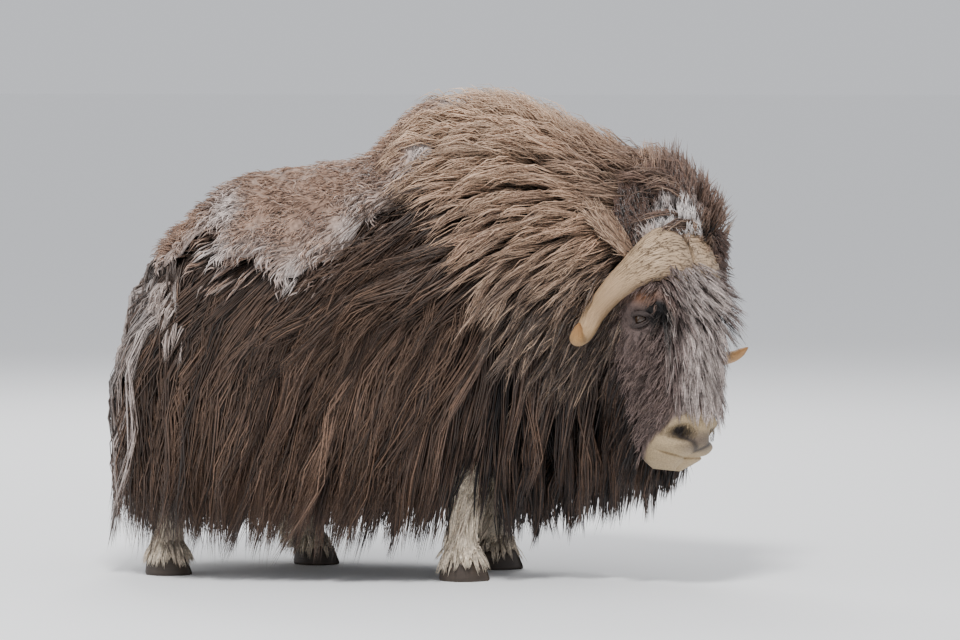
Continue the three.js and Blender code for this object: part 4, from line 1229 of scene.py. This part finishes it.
# %% A patch of coat
def coat(
    name, part, us, turns, count, kind, seed, lie, length, colour,
    guides=None, weight=0.05, reach=0.9, clings=True, hem=True, floor=0.07, sweep=0.0, fall=12.0,
    stray=0.0, stand=0.0, steps=6, width=0.005, clump=0.75, wave=0.004, lift=0.012,
    spread=(0.72, 1.0), shade=(0.55, 1.15), vary=0.28, tip=None, within=None,
):
    """Covers a patch of a body part with tufts; lie and colour are functions of the root

    The guides heed weight, reach, clings, floor, sweep and fall, and bend by stray and stand. The
    tufts heed the rest: clump is how far they close in, tip a paler colour and its share."""
    draw = np.random.default_rng(seed)
    stack = STACKS[part]
    gu, gt, groot = scatter(stack, us, turns, guides or max(24, count // 22), draw)
    long = length * draw.uniform(0.85, 1.1, len(gu))
    lowest = stack.slice(gu)[5] - 0.035 if hem else np.full(len(gu), floor)
    way = lie(groot, gu, gt) + 0.12 * draw.normal(size=groot.shape)
    lifted = reach * draw.uniform(0.8, 1.04, len(gu))
    lowest = lowest + 0.08 * draw.uniform(0, 1, len(gu)) ** 2
    path, total = drape(stack, groot, way, long, weight, lifted, clings, lowest, sweep, fall)
    out_of_guide = stack.outward(path.reshape(-1, 3)).reshape(path.shape)
    aside = unit(np.cross(out_of_guide, np.gradient(path, axis=1)))
    run = np.linspace(0, 1, path.shape[1])[None, :] * total[:, None]
    bend = stray * np.sin(draw.uniform(0, 6.3, (len(gu), 1)) + run * draw.uniform(9, 20, (len(gu), 1)))
    bend -= bend[:, :1]
    path += aside * (bend * draw.uniform(0.3, 1.2, (len(gu), 1)))[..., None]
    path += out_of_guide * (stand * draw.uniform(0, 1, (len(gu), 1)) * smooth(0, 0.1, run))[..., None]

    # the tufts: each one copies the nearest guide, and closes in on it
    root = scatter(stack, us, turns, count, draw)[2]
    if within is not None:
        root = root[within(root)]
    clump_of = nearest(root, groot)
    share = draw.uniform(*spread, len(root))
    t = np.linspace(0, 1, steps)[None, :]
    even = np.linspace(0, 1, path.shape[1])[None].repeat(len(root), 0)
    paths = resample(path[clump_of], even, t * share[:, None])
    closing = 1 - clump * draw.uniform(0.8, 1.1, (len(root), 1)) * t**1.1
    paths += (root - groot[clump_of])[:, None] * closing[..., None]
    out = stack.outward(paths.reshape(-1, 3)).reshape(paths.shape)
    paths += out * (lift * draw.uniform(-0.5, 1, (len(root), 1)) * np.sin(math.pi * 0.6 * t))[..., None]
    sway = unit(draw.normal(size=(len(root), 1, 3)))
    phase, pace = draw.uniform(0, 6.3, (len(root), 1)), draw.uniform(3, 8, (len(root), 1))
    paths += sway * (wave * t * np.sin(phase + pace * t))[..., None]
    paths[..., 2] = np.maximum(paths[..., 2], LOWEST)
    paths = held_in(paths)
    corners = bars(paths, out, width * draw.uniform(0.7, 1.35, len(root)))

    # their colours: each clump and each tuft has its own tint, with painted shade dark at the root and
    # lighter at the tip
    base = colour(root)
    tint = 1 + vary * np.clip(draw.normal(size=(len(groot), 1)), -2, 2)[clump_of] * 0.6
    tint = tint * (1 + vary * 0.6 * np.clip(draw.normal(size=(len(root), 1)), -2, 2))
    ring = np.minimum(np.arange(corners.shape[1]) // 3, steps - 1) / (steps - 1)
    run = shade[0] + (shade[1] - shade[0]) * ring**0.8
    colours = (base * tint)[:, None] * run[None, :, None]
    if tip is not None:
        pale = draw.uniform(0, 1, (len(root), 1, 1)) ** 3 * tip[1]
        colours = colours * (1 - pale * ring[None, :, None]) + tip[0] * pale * ring[None, :, None]
    return tuft_object(name, kind, corners, colours, on_map(part, root), steps)


# %% The lie of the coat
def trunk_lie(backwards):
    """Backwards along the back, and more and more downwards at the sides"""

    def lie(root, u, turn):
        side = np.where(turn < 0, -1, 1)
        down = unit(trunk.point(u, turn + side * 0.07) - trunk.point(u, turn - side * 0.07))
        share = np.minimum(np.abs(np.degrees(turn)) / 70, 1)[:, None]
        back = np.array([-1.0, 0, 0]) * backwards * (1.3 - 0.3 * share)
        return unit(back + down * (0.25 + 0.75 * share))

    return lie


def head_lie(f, l, w):
    """A lie given in the head's own frame, with l outwards on both sides"""

    def lie(root, u, turn):
        side = np.sign(head_place(root)[:, 1])
        return np.stack([f + 0 * side, l * side, w + 0 * side], -1) @ HEAD[:3, :3].T

    return lie


def side_turns(side, low, high):
    """A run of turns, from the crest down the right side or down the left"""
    return sorted((side * low, side * high))


# %% [markdown]
# ## The skirt
#
# The guard hair of the flanks is the animal's outline. It leaves the skin along the upper flank,
# runs back and down, and hangs to the knees in long clumps. Three tiers overlap like thatch, so the
# hem is closed by the lowest and the upper ones hide its roots. A few finer, paler strands lie over
# them, and rags of pale wool hang from the thigh.

# %% Flanks
STREAKS = (paint(136, 104, 82), 0.60)


def strand_colour(root):
    """Guard hair, a little paler"""
    return blend(guard_colour(root), GUARD_STREAK, np.full(len(root), 0.25))


def thigh_colour(root):
    return blend(PALE_WOOL, WOOL, np.full(len(root), 0.45))


def on_flank(root):
    return (in_saddle(root) < 0.5) & (root[:, 0] - shift.x < mane_edge(root[:, 2]) + 0.06)


def on_thigh(root):
    return patches(root * [1, 0, 0.6] + [0, 0.3, 0], 0.11, 9) > 0.05


for side, word in SIDES:
    coat(
        f"skirt_low_{word}", "trunk", (-0.80, 0.30), side_turns(side, 78, 122), 2100, GUARD_COAT, 100 + side,
        trunk_lie(0.3), 0.95, guard_colour, reach=0.62, sweep=0.26, fall=9, stray=0.012, stand=0.012,
        steps=5, width=0.0088, clump=0.82, wave=0.016, spread=(0.86, 1.05), vary=0.6, tip=STREAKS,
    )
    coat(
        f"skirt_{word}", "trunk", (-0.80, 0.36), side_turns(side, 50, 88), 3100, GUARD_COAT, 110 + side,
        trunk_lie(0.9), 1.15, guard_colour, reach=0.86, sweep=0.36, fall=6, stray=0.028, stand=0.016,
        width=0.0076, clump=0.84, wave=0.022, spread=(0.80, 1.05), vary=0.62, tip=STREAKS,
    )
    coat(
        f"flank_{word}", "trunk", (-0.79, 0.38), side_turns(side, 28, 84), 4600, GUARD_COAT, 120 + side,
        trunk_lie(1.2), 0.50, guard_colour, reach=1.0, sweep=0.50, fall=5, stray=0.028, stand=0.018,
        steps=5, width=0.0068, clump=0.84, wave=0.022, spread=(0.6, 1.05), vary=0.62, tip=STREAKS,
        within=on_flank,
    )
    coat(
        f"strands_{word}", "trunk", (-0.76, 0.34), side_turns(side, 40, 90), 1500, GUARD_COAT, 125 + side,
        trunk_lie(1.0), 0.62, strand_colour, guides=120, reach=1.04, sweep=0.42, fall=6, stray=0.035,
        stand=0.014, steps=7, width=0.0048, clump=0.80, wave=0.02, spread=(0.55, 1.05), shade=(0.6, 1.2),
        vary=0.4, tip=(GUARD_STREAK, 0.8), within=on_flank,
    )
    coat(
        f"thigh_{word}", "trunk", (-0.79, -0.64), side_turns(side, 58, 104), 900, WOOL_COAT, 128 + side,
        trunk_lie(0.2), 0.15, thigh_colour, guides=60, reach=1.16, hem=False, floor=0.2, stand=0.022,
        steps=4, width=0.0075, clump=0.8, wave=0.014, shade=(0.55, 1.05), within=on_thigh,
    )

# %% Belly
for side, word in SIDES:
    coat(
        f"belly_{word}", "trunk", (-0.70, 0.50), side_turns(side, 118, 180), 700, GUARD_COAT, 131 + side,
        trunk_lie(0.1), 0.30, guard_colour, weight=0.8, clings=False, steps=4, width=0.010,
    )

# %% [markdown]
# ## Saddle, rump and tail
#
# In early summer the underwool comes away in felted rags. They are cushions with a soft edge, and
# short crimped tufts cover them and hang from their rims. Behind, the guard hair falls straight
# from the rump like a curtain, and hides the short tail.

# %% Felt
# the outline of each mat as u in metres and turn in degrees, for the right side
MATS = {
    "broad": [
        (-0.59, -46), (-0.55, -62), (-0.48, -72), (-0.38, -76), (-0.27, -78), (-0.18, -73), (-0.10, -56),
        (-0.06, -38), (-0.12, -14), (-0.24, 12), (-0.44, 14), (-0.58, 4), (-0.63, -24),
    ],
    "front": [
        (-0.18, -50), (-0.10, -60), (0.0, -54), (0.07, -40), (0.09, -10), (0.0, 12), (-0.14, 12),
        (-0.24, -10),
    ],
    "rear": [(-0.76, -48), (-0.70, -58), (-0.62, -48), (-0.56, -26), (-0.58, 6), (-0.74, 12), (-0.80, -16)],
}
MAT_TUFTS = {"broad": 2700, "front": 1200, "rear": 900}


def mat_point(side, u, turn, share, seed):
    """A place on a mat's surface, with the lumps of felt"""
    p = trunk.point(u, side * turn, share)
    lumps = 0.009 * patches(p, 0.09, seed) + 0.004 * patches(p, 0.035, seed + 1)
    return p + trunk.outward(p) * lumps[..., None]


def mat(side, name, seed, rings=26, sides=110):
    """A closed cushion of felt over the back: its top, a thick rounded edge, and its underside"""
    outline = np.array(MATS[name]) * [1, -math.pi / 180]
    spots = np.linspace(0, len(outline), sides, endpoint=False)
    i, t = spots.astype(int), (spots % 1)[:, None]
    p = [outline[(i + k) % len(outline)] for k in (-1, 0, 1, 2)]
    edge = 0.5 * (
        2 * p[1]
        + (p[2] - p[0]) * t
        + (2 * p[0] - 5 * p[1] + 4 * p[2] - p[3]) * t**2
        + (3 * p[1] - p[0] - 3 * p[2] + p[3]) * t**3
    )
    draw = np.random.default_rng(seed)
    for waves in (7, 13, 23):
        size = 0.06 / waves * draw.uniform(0.6, 1.4)
        turns = waves * spots / len(outline) * 2 * math.pi
        edge *= 1 + size * np.sin(turns + draw.uniform(0, 6.3))[:, None] * 4
    middle = edge.mean(0)
    half = rings // 2
    reach = np.concatenate([np.linspace(0.04, 1, half), np.linspace(1, 0.04, half)])[:, None]
    over = np.repeat([1, -1], half)[:, None]
    at = middle + (edge - middle)[None] * reach[..., None]
    ride_up = 0.74 + 0.10 * smooth(0.5, 1.1, np.abs(at[..., 1]))
    share = ride_up + 0.20 * over * np.sqrt(1 - 0.98 * reach**4)
    return mat_point(side, at[..., 0], at[..., 1], share, seed)


def mat_tufts(grid, name, word, seed):
    """Short crimped wool that stands a little way off a mat, and hangs from its edge"""
    count = MAT_TUFTS[name]
    draw = np.random.default_rng(seed + 50)
    half = grid.shape[0] // 2 - 1
    i = (np.sqrt(draw.uniform(0, 1, count)) * half).astype(int)
    j = draw.integers(0, grid.shape[1], count)
    mix = draw.uniform(0, 1, (count, 2, 1))
    root = grid[i, j] * (1 - mix[:, 0]) + grid[i + 1, j] * mix[:, 0]
    root = root * (1 - mix[:, 1]) + (grid[i, (j + 1) % grid.shape[1]]) * mix[:, 1]
    out = trunk.outward(root)
    swirl = [patches(root, 0.12, seed + 2), 0.3 * patches(root, 0.12, seed + 3), patches(root, 0.1, seed + 4)]
    way = unit(0.7 * np.stack(swirl, -1) + [-0.8, 0, -0.5] + 0.35 * draw.normal(size=(count, 3)))
    rim = smooth(0.7, 1.0, (i + 1) / half)[:, None]
    way = unit(way * (1 - 0.6 * rim) + rim * [-0.15, 0, -0.8])
    way -= 0.9 * out * (way * out).sum(1, keepdims=True)
    t = np.linspace(0, 1, 4)[None, :, None]
    length = draw.uniform(0.022, 0.042, (count, 1, 1)) * (1 + 0.6 * rim[:, None])
    curl = unit(np.cross(way, out))[:, None] * np.sin(t * draw.uniform(2, 5, (count, 1, 1))) * 0.25
    rise = out[:, None] * (0.20 * np.sin(math.pi * 0.7 * t) * draw.uniform(0.1, 1, (count, 1, 1)))
    paths = root[:, None] + length * (way[:, None] * t + curl * t + rise)
    width = draw.uniform(0.0045, 0.008, count)
    base = blend(wool_colour(root), PALE_WOOL, 0.8 * rim[:, 0] * draw.uniform(0, 1, count))
    base = base * (1 + 0.20 * draw.normal(size=(count, 1)).clip(-2, 2))
    out = np.repeat(out[:, None], 4, 1)
    own_tufts(f"felt_wool_{name}_{word}", WOOL_COAT, "trunk", root, paths, out, width, base, (0.7, 1.15))


for side, word in SIDES:
    for k, name in enumerate(MATS):
        seed = 300 + 10 * k + side
        grid = mat(side, name, seed)
        made = mesh_object(f"felt_{name}_{word}", *closed_net(grid), [underwool])
        corners = np.vstack([grid.reshape(-1, 3), grid[0].mean(0), grid[-1].mean(0)])
        edge = np.sin(np.linspace(0, math.pi, grid.shape[0])) ** 6
        rim = np.append(np.repeat(edge, grid.shape[1]), [0, 0])
        give_paint(made.data, blend(wool_colour(corners), PALE_WOOL, 0.5 * rim) * 0.8)
        net = np.empty(len(made.data.loops), np.int32)
        made.data.loops.foreach_get("vertex_index", net)
        give_map(made.data, on_map("trunk", corners)[net])
        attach(made, "root")
        mat_tufts(grid, name, word, seed)


# %% Back
def on_saddle(root):
    return in_saddle(root) > 0.5


def on_mane(root):
    return in_mane(root) > 0.5


def rump_lie(root, u, turn):
    return np.stack([-0.6 + 0 * u, 0.5 * np.sin(turn), -0.7 + 0 * u], -1)


def curtain_lie(root, u, turn):
    return np.stack([-1.0 + 0 * u, 0.9 * np.sin(turn), -0.5 + 0 * u], -1)


coat(
    "saddle", "trunk", (-0.78, 0.16), (-84, 84), 1700, WOOL_COAT, 141, trunk_lie(0.9), 0.12, wool_colour,
    guides=500, reach=0.85, hem=False, floor=0.5, steps=4, width=0.0090, clump=0.7, wave=0.014, lift=0.01,
    shade=(0.55, 1.05), tip=(WHITE_WOOL, 0.3), within=on_saddle,
)
coat(
    "hump", "trunk", (-0.08, 0.38), (-56, 56), 2400, MANE_COAT, 142, trunk_lie(1.0), 0.24, mane_colour,
    guides=260, reach=0.97, hem=False, floor=0.5, steps=5, width=0.0070, wave=0.014, lift=0.02,
    tip=(MANE_TIP, 0.8), within=on_mane,
)
coat(
    "rump_top", "trunk", (-0.815, -0.66), (-85, 85), 1400, GUARD_COAT, 151, rump_lie, 0.24, guard_colour,
    weight=2.4, reach=0.92, stray=0.012, steps=5, width=0.0078, tip=(PALE_WOOL, 0.4),
)
coat(
    "curtain", "trunk", (-0.822, -0.74), (-110, 110), 2200, GUARD_COAT, 152, curtain_lie, 0.78, guard_colour,
    guides=140, weight=1.9, reach=0.95, clings=False, stray=0.022, width=0.0084, clump=0.9, wave=0.016,
    spread=(0.8, 1.04), tip=(PALE_WOOL, 0.35),
)


# %% Tail
def tail_tufts(count=260):
    draw = np.random.default_rng(161)
    grid = tail_grid()
    i, j = draw.integers(1, 12, count), draw.integers(0, 20, count)
    root = grid[i, j]
    out = unit(root - grid[i].mean(1))
    t = np.linspace(0, 1, 5)[None, :, None]
    length = draw.uniform(0.06, 0.10, (count, 1, 1))
    paths = root[:, None] + length * t * (0.35 * out[:, None] * [1, 0.8, 0.4] + [-0.16, 0, -1])
    width = draw.uniform(0.007, 0.010, count)
    base = guard_colour(root) * draw.uniform(0.8, 1.3, (count, 1))
    own_tufts("tail_hair", GUARD_COAT, "trunk", root, paths, np.repeat(out[:, None], 5, 1), width, base)


tail_tufts()


# %% [markdown]
# ## The mane
#
# Over neck and shoulders the hair is longest and palest, swept back like a cape, and its tips flare
# where the cape ends on the shoulder. Under it, from the throat and chest, dark hair falls straight
# and makes the beard. On the neck behind the boss a dark hood stands up round a patch of white wool.

# %% Mane, throat and crest
def off_crown(root, reach=0.105):
    """Roots that leave room for the white wool over the cleft of the boss"""
    return np.linalg.norm(root - in_head(-0.07, -0.03, 0.04), axis=1) > reach


for side, word in SIDES:
    coat(
        f"cape_{word}", "trunk", (0.10, 0.60), side_turns(side, 20, 116), 4600, MANE_COAT, 170 + side,
        trunk_lie(1.1), 0.27, mane_colour, guides=300, reach=0.98, sweep=0.5, fall=5, stray=0.012,
        stand=0.03, steps=5, width=0.0066, clump=0.86, wave=0.018, lift=0.02, tip=(MANE_TIP, 0.85),
        within=on_mane,
    )
    coat(
        f"neck_{word}", "trunk", (0.52, 0.83), side_turns(side, 14, 118), 2200, MANE_COAT, 180 + side,
        trunk_lie(1.0), 0.22, mane_colour, guides=220, reach=0.92, sweep=0.3, fall=7, stray=0.012,
        stand=0.03, steps=5, width=0.0066, clump=0.82, wave=0.020, lift=0.02, tip=(MANE_TIP, 0.5),
        within=off_crown,
    )
    coat(
        f"throat_{word}", "trunk", (0.28, 0.80), side_turns(side, 92, 179), 1800, GUARD_COAT, 190 + side,
        trunk_lie(0.1), 0.56, guard_colour, weight=0.6, reach=0.8, sweep=0.12, stray=0.02, stand=0.01,
        width=0.0086, clump=0.88, wave=0.012, spread=(0.8, 1.04), tip=STREAKS,
    )
coat(
    "crest", "trunk", (0.28, 0.82), (-36, 36), 1800, MANE_COAT, 201, trunk_lie(1.0), 0.24, mane_colour,
    guides=260, reach=0.97, hem=False, floor=0.5, steps=5, width=0.0066, wave=0.016, lift=0.02,
    tip=(MANE_TIP, 0.5), within=off_crown,
)


# %% Hood
def hood_lie(root, u, turn):
    share = smooth(0.70, 0.84, u)
    return np.stack([-0.5 + 1.0 * share, 0.9 * np.sin(turn), 0.9 * np.cos(turn) + 0.2], -1)


def by_crown(root):
    """Roots on the neck round the cleft of the boss"""
    return ~off_crown(root, 0.135)


def crown_colour(root):
    """White over the cleft of the boss, dark around it"""
    far = np.linalg.norm(root - in_head(-0.07, 0.0, 0.04) - [0.055, 0, -0.035], axis=1)
    return blend(WHITE_WOOL, HOOD, smooth(0.045, 0.115, far + 0.02 * patches(root, 0.05, 31)))


def crown_wool_tufts(count=1600):
    """White wool that wells up behind the boss, thickest over the cleft"""
    draw = np.random.default_rng(205)
    l = 0.005 + draw.uniform(-1, 1, count) * 0.085
    f = -0.070 + 0.018 * draw.normal(size=count) - 0.25 * np.abs(l)
    w = -0.022 + 0.012 * draw.normal(size=count)
    root = in_head(f, l, w)
    back = -0.3 + 0.3 * draw.normal(size=count)
    aside = 5 * l + 0.3 * draw.normal(size=count)
    way = unit(np.stack([back, aside, 0 * l + 1], -1)) @ HEAD[:3, :3].T
    t = np.linspace(0, 1, 4)[None, :, None]
    length = draw.uniform(0.035, 0.10, (count, 1, 1)) * (1 - 4.0 * np.abs(l))[:, None, None]
    bow = unit(draw.normal(size=(count, 1, 3))) * 0.22 * np.sin(t * 4)
    paths = root[:, None] + length * (way[:, None] * t + bow * t)
    width = draw.uniform(0.0035, 0.0065, count)
    base = blend(WHITE_WOOL, WOOL, draw.uniform(0, 0.35, count) ** 2 + 0.8 * smooth(0.05, 0.09, np.abs(l)))
    out = np.broadcast_to(HEAD[:3, 0], paths.shape)
    own_tufts("crown_wool", WOOL_COAT, "head", root, paths, out, width, base)


def front_tufts(count=700):
    """Dark hair over the front of the neck, where it meets the head"""
    draw = np.random.default_rng(209)
    turn, inward = draw.uniform(-math.pi, math.pi, count), np.sqrt(draw.uniform(0, 1, count))
    front = np.full(count, 0.846)
    rim = trunk.point(front, turn, SKIN_SHARE)
    centre = 0.5 * (trunk.point(front, 0 * front) + trunk.point(front, 0 * front + math.pi))
    root = centre + (rim - centre) * inward[:, None]
    way = unit(0.4 * unit(root - centre) + [0.25, 0, -0.6] + 0.3 * draw.normal(size=(count, 3)))
    t = np.linspace(0, 1, 4)[None, :, None]
    paths = root[:, None] + draw.uniform(0.03, 0.05, (count, 1, 1)) * t * (way[:, None] - [0, 0, 0.5] * t)
    width = draw.uniform(0.006, 0.010, count)
    base = HOOD * draw.uniform(0.5, 1.2, (count, 1))
    out = np.broadcast_to([1.0, 0, 0.2], paths.shape)
    own_tufts("front_hair", MANE_COAT, "trunk", root, paths, out, width, base)


coat(
    "hood", "trunk", (0.64, 0.848), (-125, 125), 3000, MANE_COAT, 203, hood_lie, 0.10, mane_colour,
    guides=360, weight=-0.1, reach=1.0, clings=False, hem=False, floor=0.5, steps=4, width=0.0058,
    clump=0.5, wave=0.014, lift=0.01, shade=(0.5, 1.2), vary=0.2, within=off_crown,
)
crown_wool_tufts()
coat(
    "crown", "trunk", (0.58, 0.848), (-110, 70), 6400, WOOL_COAT, 207, hood_lie, 0.055, crown_colour,
    guides=500, weight=-0.1, clings=False, hem=False, floor=0.5, steps=4, width=0.0050, clump=0.45,
    wave=0.012, shade=(0.75, 1.1), vary=0.15, within=by_crown,
)
front_tufts()


# %% [markdown]
# ## Face, ears and legs
#
# The face hair is short and lies down and back. Over the forehead it is long, and hangs in a grey
# curtain from under the boss to the nose. The beard falls from the jaw. On the legs the hair is
# pale and close, grows long behind the cannon, and hangs over the hoof in a fringe.

# %% Head
def clear_of_eye(front, back, up, down):
    """Roots outside an oval about the eye, with its reach given each way"""

    def kept(root):
        f, l, w = head_place(root).T
        f, w = f - EYE["f"], w - EYE["w"]
        oval = (f / np.where(f > 0, front, back)) ** 2 + (w / np.where(w > 0, up, down)) ** 2
        return (oval > 1) | (np.abs(l) < 0.05)

    return kept


def on_cheek(root):
    """Clear of the eye, and above the bare muzzle"""
    f, _, w = head_place(root).T
    return clear_of_eye(0.062, 0.060, 0.085, 0.034)(root) & (w > muzzle_edge(f) + 0.012)


def forelock_lie(root, u, turn):
    """Out and sideways under the boss, straight down over the nose"""
    high = smooth(-0.27, -0.14, u)
    way = np.stack([0.3 + 1.0 * high, np.sin(turn) * (0.2 + 0.9 * high), -1 + 0.7 * high], -1)
    return way @ HEAD[:3, :3].T


coat(
    "forelock", "head", (-0.43, -0.05), (-46, 60), 2500, FACE_COAT, 211, forelock_lie, 0.13, head_colour,
    guides=260, weight=0.45, reach=0.95, clings=False, hem=False, floor=0.1, stray=0.006, steps=5,
    width=0.0038, clump=0.7, wave=0.010, lift=0.008, shade=(0.5, 1.25), vary=0.34,
    tip=(paint(196, 186, 178), 0.75), within=clear_of_eye(0.070, 0.1, 0.06, 0.05),
)
for side, word in SIDES:
    coat(
        f"cheek_{word}", "head", (-0.62, -0.10), side_turns(side, 46, 165), 2700, FACE_COAT, 220 + side,
        head_lie(-0.5, 0.1, -0.8), 0.065, head_colour, guides=420, weight=0.2, reach=0.95, hem=False,
        floor=0.1, steps=4, width=0.0040, wave=0.012, lift=0.008, vary=0.34,
        tip=(paint(150, 128, 114), 0.7), within=on_cheek,
    )
    coat(
        f"brow_{word}", "head", (-0.32, -0.10), side_turns(side, 40, 130), 1500, FACE_COAT, 225 + side,
        head_lie(-0.6, 0.2, 0.1), 0.016, head_colour, guides=260, weight=0.0, reach=0.6, hem=False,
        floor=0.1, steps=3, width=0.0026, clump=0.4, wave=0.001, lift=0.002, vary=0.2,
        within=clear_of_eye(0.034, 0.034, 0.020, 0.018),
    )
    coat(
        f"jaw_{word}", "head", (-0.61, -0.34), side_turns(side, 108, 180), 1100, (guard_hair, "face_hair"),
        230 + side, head_lie(-0.6, 0.1, -1), 0.17, guard_colour, guides=120, weight=0.8, reach=1.0,
        clings=False, hem=False, floor=0.1, steps=5, width=0.0062, clump=0.8, wave=0.010, tip=STREAKS,
    )
coat(
    "muzzle", "head", (-0.56, -0.42), (-105, 105), 2200, FACE_COAT, 241, head_lie(-0.2, 0.2, -1), 0.016,
    head_colour, guides=500, weight=0.1, reach=1.0, hem=False, floor=0.1, steps=3, width=0.0016,
    clump=0.2, wave=0.0, lift=0.0, shade=(0.85, 1.1), vary=0.12,
)


# %% Ears
def ear_tufts(side, word, count=600):
    draw = np.random.default_rng(250 + side)
    grid = ear_grid(side)
    i, j = draw.integers(1, 25, count), draw.integers(0, 28, count)
    root = grid[i, j]
    out = unit(root - grid[i].mean(1))
    tipwards = unit(grid[-1].mean(0) - grid[0].mean(0))
    t = np.linspace(0, 1, 4)[None, :, None]
    length = draw.uniform(0.025, 0.055, (count, 1, 1))
    way = tipwards + 0.35 * out[:, None] * (1 - 0.5 * t) + 0.15 * draw.normal(size=(count, 1, 3))
    width = draw.uniform(0.004, 0.007, count)
    base = blend(EAR, MANE_TIP, draw.uniform(0, 0.8, count))
    paths = root[:, None] + length * t * way
    out = np.repeat(out[:, None], 4, 1)
    own_tufts(f"ear_hair_{word}", MANE_COAT, "head", root, paths, out, width, base)


for side, word in SIDES:
    ear_tufts(side, word)


# %% Legs
def leg_lie(root, u, turn):
    return np.stack([-0.3 + 0 * u, 0 * u, -1 + 0 * u], -1)


def fringe_lie(root, u, turn):
    """Out over the hoof's upper edge, then down"""
    return np.stack([0.5 * np.cos(turn), 0.5 * np.sin(turn), -1 + 0 * u], -1)


CLOSE = {"reach": 0.0, "clings": False, "hem": False}
for k, name in enumerate(LEGS):
    top = 0.46 if "front" in name else 0.52
    # hair grows all round the near foreleg, where the skirt parts, and behind the other legs
    behind = (-180, 180) if name == "front_right" else (90, 270)
    coat(
        f"stocking_{name}", name, (0.058, top), (-180, 180), 1200, LEG_COAT, 260 + k, leg_lie, 0.035,
        leg_colour, guides=300, weight=0.3, floor=0.03, steps=3, width=0.0048, clump=0.4, wave=0.002,
        lift=0.003, shade=(0.75, 1.1), vary=0.14, **CLOSE,
    )
    coat(
        f"feather_{name}", name, (0.10, 0.46), behind, 620, LEG_COAT, 270 + k, leg_lie, 0.15, leg_colour,
        guides=50, weight=0.5, floor=0.03, steps=4, width=0.0064, clump=0.6, lift=0.01,
        shade=(0.8, 1.1), vary=0.14, **CLOSE,
    )
    coat(
        f"fringe_{name}", name, (0.062, 0.105), (-180, 180), 420, LEG_COAT, 280 + k, fringe_lie, 0.082,
        leg_colour, guides=60, weight=0.35, floor=0.012, steps=3, width=0.0070, clump=0.6, wave=0.003,
        lift=0.008, shade=(0.75, 1.1), vary=0.16, **CLOSE,
    )

print("coat:", sum(coat_sizes), "triangles")

# %% [markdown]
# ## Last update
#
# The dressed animal is meant to keep the frame's size. The view layer is brought up to date once
# more.

# %% Last update
bpy.context.view_layer.update()
